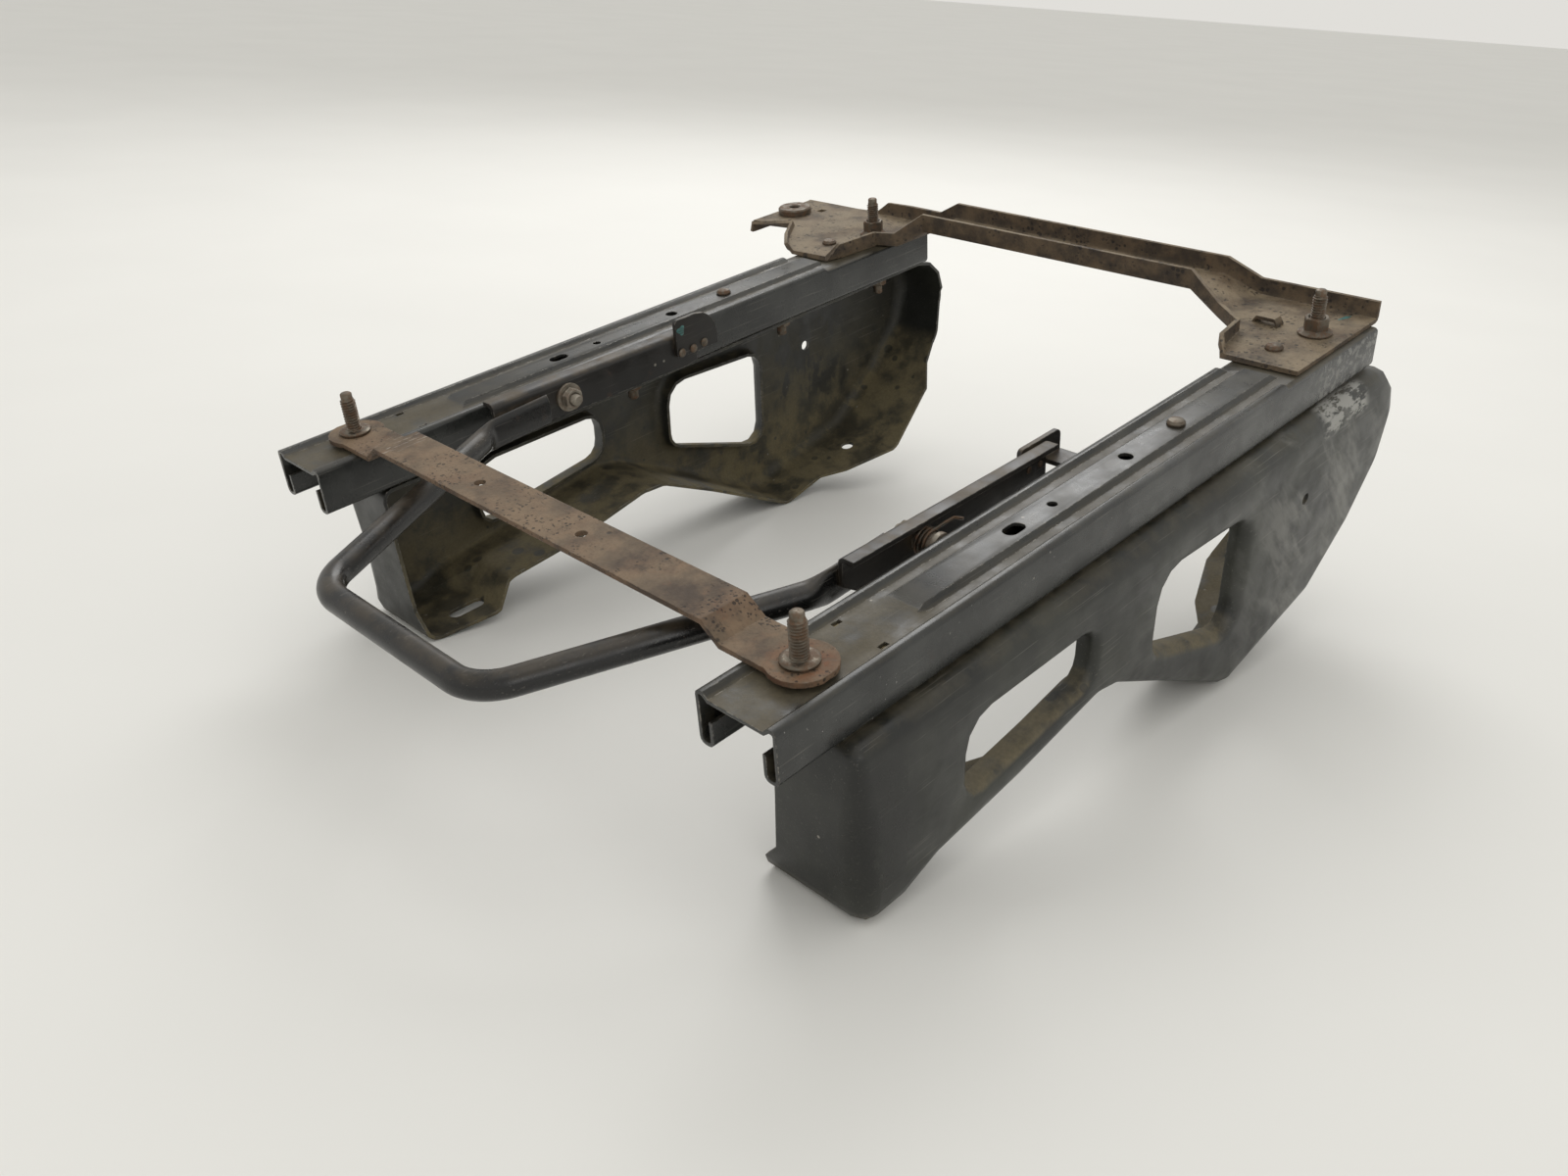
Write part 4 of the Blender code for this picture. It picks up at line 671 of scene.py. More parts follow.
def collar_stain(r: Recipe) -> bpy.types.NodeSocket:
    """Orange rust round the strap's right stud.

    Args:
        r: The finish that asks for it.

    Returns:
        The mask, 0 to 1.
    """
    stud = (RAIL_HALF_SPACING, FRONT_STUD_Y, 4.0)
    away = add(r.tree, "VectorMath", {0: r.point, 1: stud}, operation="DISTANCE").outputs["Value"]
    return r.product(r.ramp(away, 22, 11), r.ramp(r.grain(6, 5), 0.35, 0.6), 0.8)


# Meshes


def ring(radius: Callable[[float], float], level: Callable[[float], float], segments: int) -> list[Vector]:
    """A closed row of points round the Z axis.

    Args:
        radius: Radius at an angle.
        level: Height at an angle.
        segments: Number of points.

    Returns:
        The points.
    """
    angles = [2 * math.pi * k / segments for k in range(segments)]
    return [Vector((radius(a) * math.cos(a), radius(a) * math.sin(a), level(a))) for a in angles]


def circle(radius: float, level: float, segments: int) -> list[Vector]:
    """A round, level row of points."""
    return ring(lambda a: radius, lambda a: level, segments)


def lofted(rows: Sequence[Sequence[Vector]], looped: bool = False) -> bmesh.types.BMesh:
    """Skins closed rows of points.

    Args:
        rows: Rows with the same number of points.
        looped: Joins the last row to the first, in place of a face over each end.

    Returns:
        The mesh.
    """
    bm = bmesh.new()
    made = [[bm.verts.new(point) for point in row] for row in rows]
    for row, following in zip(made, made[1:] + (made[:1] if looped else [])):
        for k in range(len(row)):
            after = (k + 1) % len(row)
            bm.faces.new((row[k], row[after], following[after], following[k]))
    if not looped:
        bm.faces.new(list(reversed(made[0])))
        bm.faces.new(made[-1])
    bmesh.ops.recalc_face_normals(bm, faces=bm.faces)
    return bm


def aimed(place: Sequence[float], axis: Triple) -> Matrix:
    """The move that sets a piece down at a place with its Z axis turned onto axis."""
    turn = Vector((0, 0, 1)).rotation_difference(Vector(axis))
    return Matrix.Translation(Vector(place)) @ turn.to_matrix().to_4x4()


@dataclass
class Bench:
    """Where pieces are made: the tracks' frame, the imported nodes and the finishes."""

    frame: TrackFrame
    nodes: dict[str, bpy.types.Object]
    finishes: dict[str, bpy.types.Material] = field(default_factory=dict)

    def material(self, finish: Finish) -> bpy.types.Material:
        """The material of a finish, made once.

        Args:
            finish: The finish.

        Returns:
            Its material.
        """
        if finish.name not in self.finishes:
            self.finishes[finish.name] = finish.build(self.frame)
        return self.finishes[finish.name]

    def dress(self, names: Iterable[str], finish: Finish) -> None:
        """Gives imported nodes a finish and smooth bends.

        Args:
            names: The nodes' names.
            finish: Their finish.
        """
        for name in names:
            obj = self.nodes[name]
            obj.data.materials.clear()
            obj.data.materials.append(self.material(finish))
            modifier = obj.modifiers.new("smooth_bends", "NODES")
            modifier.node_group = smooth_bends()
            LOG.info("%s: %s", name, finish.name)

    def piece(self, name: str, bm: bmesh.types.BMesh, finish: Finish, body: Body, slot: str,
              replaces: Sequence[str] = (), sharp: float = 32.0) -> bpy.types.Object:
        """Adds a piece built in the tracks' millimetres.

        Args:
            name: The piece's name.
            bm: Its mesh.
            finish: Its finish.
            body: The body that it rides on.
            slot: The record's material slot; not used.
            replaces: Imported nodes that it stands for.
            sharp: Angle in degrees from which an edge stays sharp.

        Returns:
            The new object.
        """
        bm.transform(self.frame.matrix)
        bmesh.ops.recalc_face_normals(bm, faces=bm.faces)
        mesh = bpy.data.meshes.new(name)
        bm.to_mesh(mesh)
        bm.free()
        mesh.shade_smooth()
        mesh.set_sharp_from_angle(angle=math.radians(sharp))
        mesh.materials.append(self.material(finish))
        obj = bpy.data.objects.new(name, mesh)
        bpy.context.scene.collection.objects.link(obj)
        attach(obj, body.value)
        if replaces:
            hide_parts(*replaces)
        LOG.info("%s: %d faces, %s", name, len(mesh.polygons), finish.name)
        return obj


def smooth_bends() -> bpy.types.NodeTree:
    """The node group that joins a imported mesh's corners and shades its bends smooth.

    Returns:
        The group, made once.
    """
    name = "smooth_bends"
    if name in bpy.data.node_groups:
        return bpy.data.node_groups[name]
    group = bpy.data.node_groups.new(name, "GeometryNodeTree")
    group.interface.new_socket("Geometry", in_out="INPUT", socket_type="NodeSocketGeometry")
    group.interface.new_socket("Geometry", in_out="OUTPUT", socket_type="NodeSocketGeometry")
    start = add(group, "NodeGroupInput")
    plain = add(group, "GeometryNodeRemoveAttribute", {0: start.outputs[0], "Name": "custom_normal"})
    joined = add(group, "GeometryNodeMergeByDistance", {0: plain.outputs[0], "Distance": 0.01 * MM})
    soft = add(group, "GeometryNodeSetShadeSmooth", {
        0: joined.outputs[0], "Shade Smooth": True}, domain="FACE")
    angle = add(group, "GeometryNodeInputMeshEdgeAngle")
    folded = add(group, "Math", {0: angle.outputs[0], 1: math.radians(CRISP_FOLD)}, operation="GREATER_THAN")
    crisp = add(group, "GeometryNodeSetShadeSmooth", {
        0: soft.outputs[0], "Selection": folded.outputs[0], "Shade Smooth": False}, domain="EDGE")
    add(group, "NodeGroupOutput", {0: crisp.outputs[0]})
    return group


# Finishes of this bracket, each with what it gives the eye

# satin black with bright edges, rubbed bare and partly a painted highlight along the fold ridges, brown dust
# in the grooves and chalky rear walls
RAIL_PAINT = StovedPaint("chassis_enamel_stoved_rails", paint="#1b1c1b", faded="#343533", bands=groove_dust,
                         pale_marks=rail_chalk, dust="#5f5642", rust_amount=0.25, gloss_roughness=0.2,
                         dust_on_top=0.2, bright_edges=1.0)
# the same black, dull under settled dust
LOWER_PAINT = StovedPaint("chassis_enamel_stoved_inner_rails", dust_on_top=0.7, rust_amount=0.5)
# olive black, clean and half dull outside, scuffed white towards the rear with a painted highlight on the
# rear shoulder, painted shade down the front corner, and olive inside with dust and painted light growing
# towards the bottom
RIGHT_TRAY = StovedPaint("chassis_enamel_stoved_near_riser", paint="#1a1b18", faded="#30312b",
                         bands=partial(tray_dust, side=Side.RIGHT), pale_marks=rear_chalk, gloss_roughness=0.33,
                         dust_in_corners=0.5, dust="#6e6550", rust_amount=0.12, dust_on_top=0.25,
                         painted_shade=corner_oil)
# darker black under a coat of olive dust and painted light growing towards the bottom, with near-black,
# glossier patches of painted shade under the rail and at the rear
LEFT_TRAY = StovedPaint("chassis_enamel_stoved_far_riser", paint="#191a17", faded="#292a25",
                        bands=partial(tray_dust, side=Side.LEFT), gloss_roughness=0.40, dust_in_corners=0.4,
                        dust="#71674c", rust_amount=0.1, painted_shade=inner_oil)
# deep glossy black that mirrors the pale room along the tube
BAR_PAINT = StovedPaint("gloss_enamel_dipped_tube", paint="#0e0e0e", faded="#1c1b1a", gloss_roughness=0.2,
                        dust_on_top=0.22, dust_in_corners=0.3, rust_amount=0.35, bright_edges=0.5)
# glossy black broken by brown rust
ARM_PAINT = StovedPaint("gloss_enamel_dipped_arms", paint="#131211", faded="#231f1b", gloss_roughness=0.3,
                        dust_on_top=0.45, rust_amount=0.9, bright_edges=0.7)
# dry reddish brown, pitted, with a few bright scratches
STRAP_STEEL = MillScaleRust("hot_rolled_strip_rusted", scale="#43362b", old_rust="#6c5642", dust="#8b785f",
                            fresh_rust="#74482a", marks=joggle_scratches, stain=collar_stain,
                            dust_amount=0.45)
# dry grey brown under a thick coat of dust
CHANNEL_STEEL = MillScaleRust("pressed_sheet_rusted_dusty", scale="#3b3127", old_rust="#5f4f3c",
                              dust="#8c7d65", dust_amount=0.7, fresh_amount=0.12, pit_spacing=8.0)
# grey metal glints on the thread's crests, brown rust in its roots
STUD_STEEL = ZincPlate("zinc_plate_rolled_thread")
# dull grey brown metal
NUT_STEEL = ZincPlate("zinc_plate_cold_headed_nut", plate="#6f675c", rust_amount=0.75, roughness=0.45)
# the palest metal of the bracket
WASHER_STEEL = ZincPlate("zinc_plate_stamped_washer", plate="#9d968a", rust_amount=0.5, roughness=0.5)
# dark drawn wire, brown between its turns
SPRING_STEEL = ZincPlate("spring_wire_drawn", plate="#57524a", rust_amount=0.8)
# waxy yellowed white with dark grease smears
NYLON = NaturalNylon("nylon_moulded_greased")
# a matt teal stroke with darker brush lines
MARKING_PAINT = PaintDab()


@dataclass
class Tracks:
    """Upper and lower rails with the risers and the glides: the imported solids, dressed."""

    bench: Bench

    def build(self) -> None:
        """Dresses every sheet and glide."""
        dress = self.bench.dress
        for side in Side:
            dress([f"{side.word}_upper_rail"], RAIL_PAINT)
            dress([f"{side.word}_lower_rail"], LOWER_PAINT)
            for end in ("front", "rear"):
                dress([f"{side.word}_glide_{end}_{edge}" for edge in ("inner", "outer")], NYLON)
            dress([f"{side.word}_rail_bolt_{k}" for k in (1, 2, 3, 4)], NUT_STEEL)
            dress([f"{side.word}_rail_rivet", f"{side.word}_plate_rivet"], NUT_STEEL)
        dress(["right_riser"], RIGHT_TRAY)
        dress(["left_riser"], LEFT_TRAY)


@dataclass
class CrossMembers:
    """The front strap, the rear channel and its boss, with the channel's lanced tab and paint mark."""

    bench: Bench
    tab_place: Triple = (166.0, 547.0, 0.3)
    tab_length: float = 19.0
    tab_width: float = 9.0
    tab_height: float = 4.5
    tab_sheet: float = 2.4
    tab_root: float = 1.0
    tab_steps: int = 14
    dab_place: Triple = (203.0, 586.0, 0.32)
    dab_size: tuple[float, float] = (6.5, 1.5)
    dab_turn: float = -18.0
    dab_points: int = 24

    def build(self) -> None:
        """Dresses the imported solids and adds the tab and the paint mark."""
        self.bench.dress(["front_strap"], STRAP_STEEL)
        self.bench.dress(["rear_cross_channel"], CHANNEL_STEEL)
        self.bench.dress(["anchor_boss"], NUT_STEEL)
        self.add_tab()
        self.add_dab()

    def add_dab(self) -> None:
        """A stroke of marking paint on the right plate, behind the stud."""
        x, y, z = self.dab_place
        long, wide = self.dab_size
        rows = []
        for share, level in ((1.0, 0.0), (0.92, 0.1), (0.4, 0.16)):
            rows.append([Vector((wide * share * (1 + 0.35 * math.sin(3 * a)) * math.cos(a),
                                 long * share * (1 + 0.12 * math.sin(5 * a)) * math.sin(a), level))
                         for a in (2 * math.pi * k / self.dab_points for k in range(self.dab_points))])
        bm = lofted(rows)
        bm.transform(Matrix.Translation((x, y, z)) @ Matrix.Rotation(math.radians(self.dab_turn), 4, "Z"))
        self.bench.piece("right_plate_paint_mark", bm, MARKING_PAINT, Body.CARRIAGE, "rusty_steel")

    def add_tab(self) -> None:
        """A bridge lanced up out of the right plate, on the stud's inner side."""
        x, y, z = self.tab_place
        rows = []
        for k in range(self.tab_steps + 1):
            along = -self.tab_length / 2 + self.tab_length * k / self.tab_steps
            rise = self.tab_height * min(1.0, 2.2 * math.sin(math.pi * k / self.tab_steps))
            corners = []
            for across, level in ((-1, 0), (1, 0), (1, 1), (-1, 1)):
                corners.append(Vector((x + along, y + across * self.tab_width / 2,
                                       z + rise - self.tab_root + level * self.tab_sheet)))
            rows.append(corners)
        self.bench.piece("right_plate_tab", lofted(rows), CHANNEL_STEEL, Body.CARRIAGE, "rusty_steel")


@dataclass(frozen=True)
class Thread:
    """A metric thread, by its outer diameter and pitch in millimetres."""

    diameter: float
    pitch: float
    segments: int = 28
    rows_per_turn: int = 8
    depth_per_pitch: float = 0.62
    bevel_slope: float = 0.7

    def disc(self, radius: float, level: float) -> list[Vector]:
        """A plain round row with as many points as the thread's own rows."""
        return circle(radius, level, self.segments)

    def depth_at(self, phase: float) -> float:
        """Depth below the crest at a phase of 0 to 1 through the pitch."""
        wave = 1 - abs(2 * phase - 1)
        return self.depth_per_pitch * self.pitch * min(1.0, max(0.0, wave * 1.3 - 0.15))

    def rows(self, start: float, end: float, tip: float) -> list[list[Vector]]:
        """Rows of points up a threaded shank.

        Args:
            start: Height where the thread starts.
            end: Height of the shank's end.
            tip: Length of the bevel at the end.

        Returns:
            The rows, from the foot up.
        """
        count = max(2, int((end - start) / self.pitch * self.rows_per_turn))
        rows = []
        for k in range(count + 1):
            height = start + (end - start) * k / count
            fade = min(1.0, (height - start) / self.pitch)
            cut = max(0.0, height - (end - tip)) * self.bevel_slope
            rows.append(ring(
                lambda a, h=height, f=fade, c=cut: self.diameter / 2 - c
                - f * self.depth_at((h / self.pitch - a / (2 * math.pi)) % 1.0) * max(0.0, 1 - c / 1.2),
                lambda a, h=height: h, self.segments))
        return rows


@dataclass(frozen=True)
class Nut:
    """A hexagon nut with a round flange, in millimetres."""

    flats: float
    height: float
    flange: float
    flange_height: float
    bore: float
    segments: int = 48
    chamfer: float = 0.25
    chamfer_slope: float = 0.62
    countersink: float = 0.8

    def mesh(self) -> bmesh.types.BMesh:
        """The nut, seated at the origin, with chamfered corners and a countersunk bore.

        Returns:
            Its mesh, in millimetres.
        """
        def hexagon(angle: float) -> float:
            """Radius of the hexagon at an angle."""
            nearest = (math.floor(angle / (math.pi / 3)) + 0.5) * math.pi / 3
            return self.flats / 2 / math.cos(angle - nearest)

        def shoulder(angle: float) -> float:
            """Height at which the chamfer meets the flats."""
            return self.height - (hexagon(angle) - self.flats / 2) * self.chamfer_slope - self.chamfer

        count = self.segments
        rows = [
            circle(self.bore / 2, 0.0, count),
            circle(self.flange / 2 - 0.5, 0.0, count),
            circle(self.flange / 2, 0.4, count),
            circle(self.flange / 2, self.flange_height * 0.45, count),
            ring(lambda a: hexagon(a) + 0.4, lambda a: self.flange_height, count),
            ring(hexagon, lambda a: self.flange_height + 0.5, count),
            ring(hexagon, shoulder, count),
            circle(self.flats / 2 - 0.2, self.height, count),
            circle(self.bore / 2 + self.countersink, self.height, count),
            circle(self.bore / 2, self.height - self.countersink, count),
        ]
        return lofted(rows, looped=True)


@dataclass
class Fasteners:
    """Threaded studs and their nuts, at the tracks' four corners and under the risers' tops."""

    bench: Bench
    stud: Thread = Thread(9.7, 1.75)
    front_top: float = 30.8
    rear_top: float = 31.5
    collar_diameter: float = 20.0
    collar_foot: float = 3.6
    collar_height: float = 2.4
    head_diameter: float = 15.0
    head_top: float = -5.3
    head_height: float = 2.2
    plain_length: float = 6.0
    thread_gap: float = 0.2
    thread_bevel: float = 1.3
    dog_diameter: float = 7.4
    dog_length: float = 4.0
    rear_nut: Nut = Nut(15.0, 12.0, 23.0, 3.0, 10.3)
    rail_nut: Nut = Nut(13.0, 9.0, 18.0, 1.8, 8.6)
    nut_seat: float = 0.6
    bolt_places: tuple[float, ...] = (104.0, 268.0, 430.0, 552.0)
    rail_nut_top: float = -36.4

    def build(self) -> None:
        """Makes every stud and nut."""
        for side in Side:
            self.add_stud(side, "front", FRONT_STUD_Y, self.front_top, True)
            self.add_stud(side, "rear", REAR_STUD_Y, self.rear_top, False)
            nut = self.rear_nut.mesh()
            nut.transform(aimed((side.value * RAIL_HALF_SPACING, REAR_STUD_Y, self.nut_seat), (0, 0, 1)))
            self.bench.piece(f"{side.word}_rear_flange_nut", nut, NUT_STEEL, Body.CARRIAGE, "dull_steel",
                             [f"{side.word}_rear_nut"])
            for number, y in enumerate(self.bolt_places, 1):
                nut = self.rail_nut.mesh()
                nut.transform(aimed((side.value * RAIL_HALF_SPACING, y, self.rail_nut_top), (0, 0, -1)))
                self.bench.piece(f"{side.word}_rail_flange_nut_{number}", nut, NUT_STEEL, Body.BASE,
                                 "dull_steel", [f"{side.word}_rail_nut_{number}"])

    def add_stud(self, side: Side, end: str, y: float, top: float, collared: bool) -> None:
        """One stud with its riveted head, thread and turned-down tip.

        Args:
            side: Which track.
            end: The word front or rear.
            y: Place along the track.
            top: Height of its tip.
            collared: Whether it has a collar over the strap.
        """
        radius = self.stud.diameter / 2
        disc = self.stud.disc
        rows = [disc(self.head_diameter / 2, self.head_top - self.head_height),
                disc(self.head_diameter / 2, self.head_top), disc(radius, self.head_top)]
        start = self.head_top + self.plain_length
        if collared:
            foot = self.collar_foot
            rim = self.collar_diameter / 2
            start = foot + self.collar_height
            rows += [disc(radius, foot), disc(rim - 0.3, foot), disc(rim, foot + 0.3),
                     disc(rim, start - 0.9), disc(rim - 0.9, start - 0.2),
                     disc(rim - 2.2, start), disc(radius + 0.3, start)]
        thread_end = top - self.dog_length
        rows += self.stud.rows(start + self.thread_gap, thread_end, self.thread_bevel)
        dog = self.dog_diameter / 2
        rows += [disc(dog, thread_end + 0.1), disc(dog, top - 0.7), disc(dog - 0.7, top)]
        bm = lofted(rows)
        bm.transform(aimed((side.value * RAIL_HALF_SPACING, y, 0), (0, 0, 1)))
        self.bench.piece(f"{side.word}_{end}_threaded_stud", bm, STUD_STEEL, Body.CARRIAGE, "dull_steel",
                         [f"{side.word}_{end}_stud"], sharp=50)


@dataclass
class AdjusterLever:
    """The bent tube with its flattened ends, the arms, pivots, springs and latch plates.

    A knee is given by Y, Z and the radius of its bend, the tube's front by half its width, Y and Z. The pivot
    stud's collar and shoulder have a diameter and the distance from the foot at which they end.
    """

    bench: Bench
    radius: float = 7.9
    wall: float = 1.6
    end_x: float = 150.45
    end_y: float = 158.0
    end_z: float = -9.0
    end_thickness: float = 6.5
    end_height: float = 21.0
    knee: Triple = (108.0, -11.0, 45.0)
    front: Triple = (75.0, -56.0, -18.0)
    corner_radius: float = 30.0
    bend_steps: int = 14
    flattened: tuple[float, float] = (99.0, 114.0)
    segments: int = 28
    pivot_nut: Nut = Nut(13.0, 5.5, 14.0, 0.8, 8.3)
    pivot_thread: Thread = Thread(8.0, 1.25)
    nut_x: float = 151.8
    stud_foot_x: float = 173.7
    stud_end_x: float = 142.3
    collar: tuple[float, float] = (16.0, 3.0)
    shoulder: tuple[float, float] = (13.0, 16.4)
    thread_gap: float = 0.2
    thread_bevel: float = 1.2
    rivet_places: tuple[tuple[float, float], ...] = ((302.0, -7.6),)
    rivet_face: float = 150.7
    rivet_profile: tuple[tuple[float, float], ...] = (
        (3.2, 0.0), (3.25, 0.5), (2.7, 1.1), (1.7, 1.5), (0.6, 1.65))
    rivet_points: int = 20
    dab_place: Triple = (-150.6, 281.0, 8.0)

    def build(self) -> None:
        """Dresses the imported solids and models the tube, nuts and threads."""
        dress = self.bench.dress
        for side in Side:
            dress([f"{side.word}_lever_arm", f"{side.word}_latch_plate"], ARM_PAINT)
            dress([f"{side.word}_pivot_washer"], WASHER_STEEL)
            dress([f"{side.word}_lever_spring"], SPRING_STEEL)
            dress([f"{side.word}_latch_rivet_{k}" for k in (1, 2)], NUT_STEEL)
            self.add_pivot_stud(side)
            self.add_pivot_nut(side)
            self.add_rivets(side)
        self.add_tube()
        self.add_dab()

    def path(self) -> list[Vector]:
        """The tube's centre line in plan, with its four bends as arcs.

        Returns:
            Points from the left end to the right one.
        """
        knee_y, _, knee_radius = self.knee
        half, front_y, _ = self.front
        corners = [(-self.end_x, self.end_y, 0.0), (-self.end_x, knee_y, knee_radius),
                   (-half, front_y, self.corner_radius), (half, front_y, self.corner_radius),
                   (self.end_x, knee_y, knee_radius), (self.end_x, self.end_y, 0.0)]
        points = []
        flat = [Vector((x, y)) for x, y, _ in corners]
        for k, (_, _, radius) in enumerate(corners):
            if not radius:
                points.append(flat[k])
                continue
            into = (flat[k] - flat[k - 1]).normalized()
            out = (flat[k + 1] - flat[k]).normalized()
            turn = -into.angle_signed(out)
            side = 1 if turn > 0 else -1
            first = flat[k] - into * radius * math.tan(abs(turn) / 2)
            centre = first + Vector((-into.y, into.x)) * radius * side
            for j in range(self.bend_steps + 1):
                points.append(centre + Matrix.Rotation(turn * j / self.bend_steps, 2) @ (first - centre))
        return points

    def level(self, y: float) -> float:
        """Height of the centre line.

        Args:
            y: Place along the tracks.

        Returns:
            The height there.
        """
        knee_y, knee_z, _ = self.knee
        if y > knee_y:
            return knee_z + (self.end_z - knee_z) * min(1.0, (y - knee_y) / (self.end_y - knee_y))
        share = (y - self.front[1]) / (knee_y - self.front[1])
        return self.front[2] + (knee_z - self.front[2]) * max(0.0, share)

    def add_tube(self) -> None:
        """The tube: round along the U, pressed flat where it lies on the arms."""
        path = self.path()
        round_end, flat_start = self.flattened
        up = Vector((0, 0, 1))
        angles = [2 * math.pi * j / self.segments for j in range(self.segments)]
        outer, inner = [], []
        for k, point in enumerate(path):
            ahead = path[min(k + 1, len(path) - 1)] - path[max(k - 1, 0)]
            across = Vector((ahead.y, -ahead.x, 0)).normalized()
            share = min(1.0, max(0.0, (point.y - round_end) / (flat_start - round_end)))
            flat = share * share * (3 - 2 * share)
            wide = self.radius + (self.end_thickness / 2 - self.radius) * flat
            tall = self.radius + (self.end_height / 2 - self.radius) * flat
            centre = Vector((point.x, point.y, self.level(point.y)))
            for rows, skin in ((outer, 0.0), (inner, self.wall)):
                rows.append([centre + across * (wide - skin) * math.cos(a) + up * (tall - skin) * math.sin(a)
                             for a in angles])
        bm = lofted(outer + inner[::-1], looped=True)
        self.bench.piece("adjuster_tube", bm, BAR_PAINT, Body.LEVER, "black_paint", ["adjuster_bar"],
                         sharp=55)

    def on_pivot(self, side: Side, x: float) -> Matrix:
        """The move onto a track's pivot at a distance x from the middle, facing inwards."""
        return aimed((side.value * x, PIVOT_IN_TRACKS.y, PIVOT_IN_TRACKS.z), (-side.value, 0, 0))

    def add_pivot_stud(self, side: Side) -> None:
        """The shouldered stud that the lever turns on, with its thread cut.

        Args:
            side: Which track.
        """
        disc = self.pivot_thread.disc
        (collar, collar_end), (shoulder, shoulder_end) = self.collar, self.shoulder
        rows = [disc(collar / 2, 0.0), disc(collar / 2, collar_end), disc(shoulder / 2, collar_end),
                disc(shoulder / 2, shoulder_end - 0.4), disc((shoulder - 0.8) / 2, shoulder_end),
                disc(self.pivot_thread.diameter / 2, shoulder_end)]
        rows += self.pivot_thread.rows(shoulder_end + self.thread_gap, self.stud_foot_x - self.stud_end_x,
                                       self.thread_bevel)
        bm = lofted(rows)
        bm.transform(self.on_pivot(side, self.stud_foot_x))
        self.bench.piece(f"{side.word}_pivot_threaded_stud", bm, WASHER_STEEL, Body.CARRIAGE, "dull_steel",
                         [f"{side.word}_pivot_stud"], sharp=50)

    def add_pivot_nut(self, side: Side) -> None:
        """The nut on a pivot, with the stud's threaded end standing out of it.

        Args:
            side: Which track.
        """
        nut = self.pivot_nut.mesh()
        nut.transform(self.on_pivot(side, self.nut_x))
        self.bench.piece(f"{side.word}_pivot_hex_nut", nut, WASHER_STEEL, Body.CARRIAGE, "dull_steel",
                         [f"{side.word}_pivot_nut"])

    def add_rivets(self, side: Side) -> None:
        """The third rivet's head on the latch plate's inner face.

        Args:
            side: Which track.
        """
        for number, (y, z) in enumerate(self.rivet_places, 3):
            bm = lofted([circle(radius, level, self.rivet_points) for radius, level in self.rivet_profile])
            bm.transform(aimed((side.value * self.rivet_face, y, z), (-side.value, 0, 0)))
            self.bench.piece(f"{side.word}_latch_rivet_head_{number}", bm, NUT_STEEL, Body.LEVER,
                             "dull_steel")

    def add_dab(self) -> None:
        """A dab of marking paint on the left latch plate's crown."""
        rows = [ring(lambda a, r=r: r * (1 + 0.25 * math.sin(3 * a + 0.6)), lambda a, h=h: h, 18)
                for r, h in ((3.4, 0.0), (3.2, 0.12), (1.5, 0.2))]
        bm = lofted(rows)
        bm.transform(aimed(self.dab_place, (1, 0, 0)))
        self.bench.piece("left_latch_paint_mark", bm, MARKING_PAINT, Body.LEVER, "black_paint")


@dataclass(frozen=True)
class Softbox:
    """A square lamp that faces the frame's origin, in metres and watts."""

    name: str
    place: Triple
    size: float
    power: float

    def build(self) -> None:
        """Makes the lamp."""
        lamp = bpy.data.lights.new(self.name, "AREA")
        lamp.size = self.size
        lamp.energy = self.power
        obj = bpy.data.objects.new(self.name, lamp)
        obj.location = self.place
        obj.rotation_euler = (-Vector(self.place)).to_track_quat("-Z", "Y").to_euler()
        bpy.context.scene.collection.objects.link(obj)


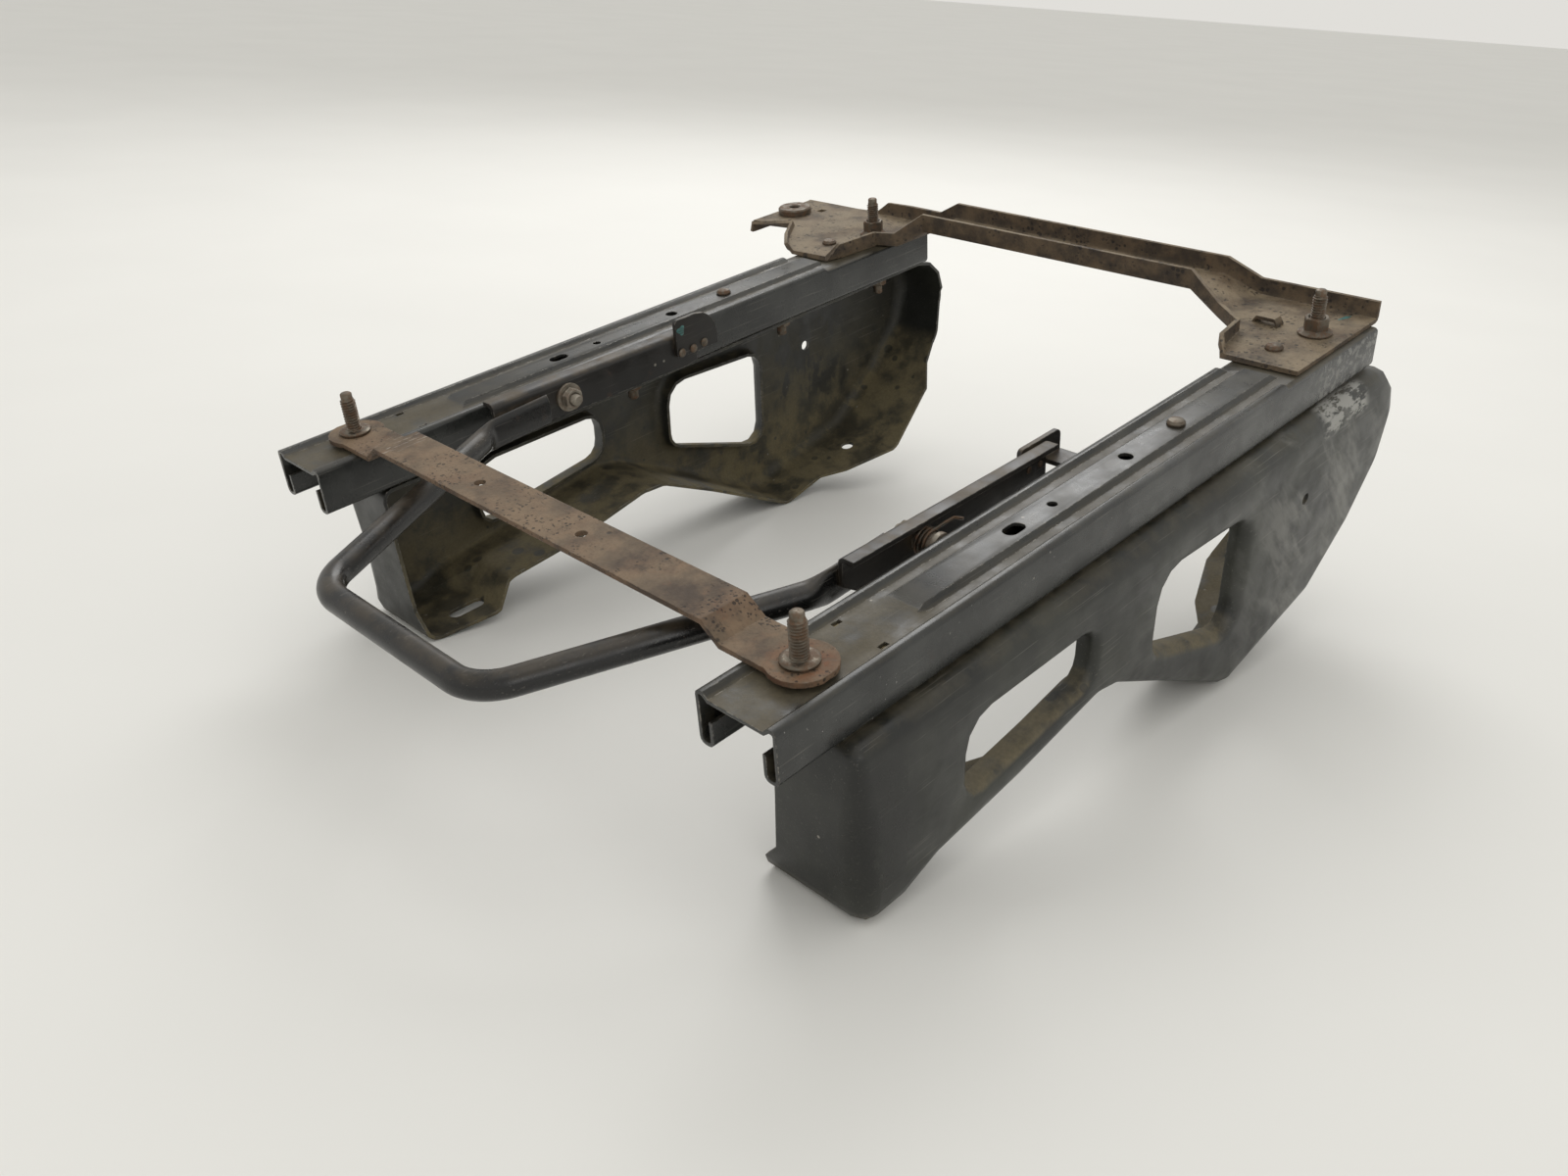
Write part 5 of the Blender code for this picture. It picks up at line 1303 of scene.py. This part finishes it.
@dataclass
class Studio:
    """A pale floor, soft lamps and the camera, where the photograph was taken from.

    The camera's position and angles are in the tracks' frame, in millimetres and radians.
    """

    frame: TrackFrame
    position: Vector = field(default_factory=lambda: Vector((557.4, -299.5, 352.1)))
    yaw: float = math.radians(46.83)
    pitch: float = math.radians(31.97)
    roll: float = math.radians(-4.18)
    floor_size: float = 12.0
    floor_colour: str = "#e1e0dc"
    floor_clouds: str = "#e8e7e3"
    wall_colour: str = "#e9e8e4"
    wall_strength: float = 0.92
    seen_colour: str = "#e6e4df"
    seen_strength: float = 0.95
    softboxes: tuple[Softbox, ...] = (
        Softbox("window_softbox", (-1.3, 1.5, 2.0), 1.5, 24.0),
        Softbox("overhead_softbox", (0.2, -0.2, 2.7), 1.8, 7.0),
        Softbox("near_softbox", (2.4, -1.2, 1.4), 1.2, 6.0))

    def build(self) -> None:
        """Makes the floor, the lamps, the world and the camera."""
        self.add_floor()
        for softbox in self.softboxes:
            softbox.build()
        self.add_world()
        self.add_camera()

    def add_floor(self) -> None:
        """A sheet of pale paper with faint creases."""
        mesh = bpy.data.meshes.new("paper_floor")
        bm = bmesh.new()
        bmesh.ops.create_grid(bm, x_segments=1, y_segments=1, size=self.floor_size)
        bm.to_mesh(mesh)
        bm.free()
        # matt off-white that keeps the soft shadow
        material = bpy.data.materials.new("drawing_paper_laid")
        material.use_nodes = True
        tree = material.node_tree
        shader = tree.nodes["Principled BSDF"]
        coords = add(tree, "TexCoord")
        clouds = add(tree, "TexNoise", {"Vector": coords.outputs["Object"], "Scale": 3.0, "Detail": 3.0})
        tone = add(tree, "Mix", {
            0: clouds.outputs[0], 6: srgb(self.floor_colour), 7: srgb(self.floor_clouds)}, data_type="RGBA")
        tree.links.new(tone.outputs[2], shader.inputs["Base Color"])
        bump = add(tree, "Bump", {"Strength": 0.35, "Distance": 0.004, "Height": clouds.outputs[0]})
        tree.links.new(bump.outputs[0], shader.inputs["Normal"])
        shader.inputs["Roughness"].default_value = 0.8
        mesh.materials.append(material)
        floor = bpy.data.objects.new("paper_floor", mesh)
        floor.location.z = -0.0005
        bpy.context.scene.collection.objects.link(floor)

    def add_world(self) -> None:
        """An even pale surround, which the camera sees in a slightly greyer tone."""
        world = bpy.data.worlds.new("pale_room")
        world.use_nodes = True
        tree = world.node_tree
        lit = tree.nodes["Background"]
        lit.inputs["Color"].default_value = srgb(self.wall_colour)
        lit.inputs["Strength"].default_value = self.wall_strength
        seen = add(tree, "Background", {"Color": srgb(self.seen_colour), "Strength": self.seen_strength})
        path = add(tree, "LightPath")
        either = add(tree, "Math", {0: path.outputs["Is Camera Ray"], 1: path.outputs["Is Transmission Ray"]},
                     operation="MAXIMUM")
        mix = add(tree, "MixShader", {0: either.outputs[0], 1: lit.outputs[0], 2: seen.outputs[0]})
        tree.links.new(mix.outputs[0], tree.nodes["World Output"].inputs["Surface"])
        bpy.context.scene.world = world

    def add_camera(self) -> None:
        """The camera, turned with the tracks' tilt and placed by the photograph's perspective."""
        back = Vector((math.sin(self.yaw) * math.cos(self.pitch), -math.cos(self.yaw) * math.cos(self.pitch),
                       math.sin(self.pitch)))
        right = (-back).cross(Vector((0, 0, 1))).normalized()
        up = right.cross(-back)
        turned_right = right * math.cos(self.roll) + up * math.sin(self.roll)
        turned_up = up * math.cos(self.roll) - right * math.sin(self.roll)
        axes = Matrix((turned_right, turned_up, back)).transposed().to_4x4()
        data = bpy.data.cameras.new("photograph_camera")
        data.sensor_width = SENSOR_WIDTH
        data.lens = SENSOR_WIDTH * PHOTO_FOCAL_PIXELS / PHOTO_WIDTH
        data.clip_start = 0.02
        camera = bpy.data.objects.new("photograph_camera", data)
        tilt = Matrix.Rotation(self.frame.tilt, 4, "X")
        camera.matrix_world = Matrix.Translation(self.frame.matrix @ self.position) @ tilt @ axes
        bpy.context.scene.collection.objects.link(camera)
        bpy.context.scene.camera = camera


def main() -> None:
    """Builds the looks in order."""
    logging.basicConfig(level=logging.INFO, format="%(name)s: %(message)s")
    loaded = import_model()
    bpy.context.scene.view_settings.view_transform = "Standard"
    frame = TrackFrame.from_joints(loaded["joints"])
    bench = Bench(frame, loaded["nodes"])
    for assembly in (Tracks(bench), CrossMembers(bench), Fasteners(bench), AdjusterLever(bench),
                     Studio(frame)):
        assembly.build()
        LOG.info("%s done", type(assembly).__name__)


if __name__ == "__main__":
    main()
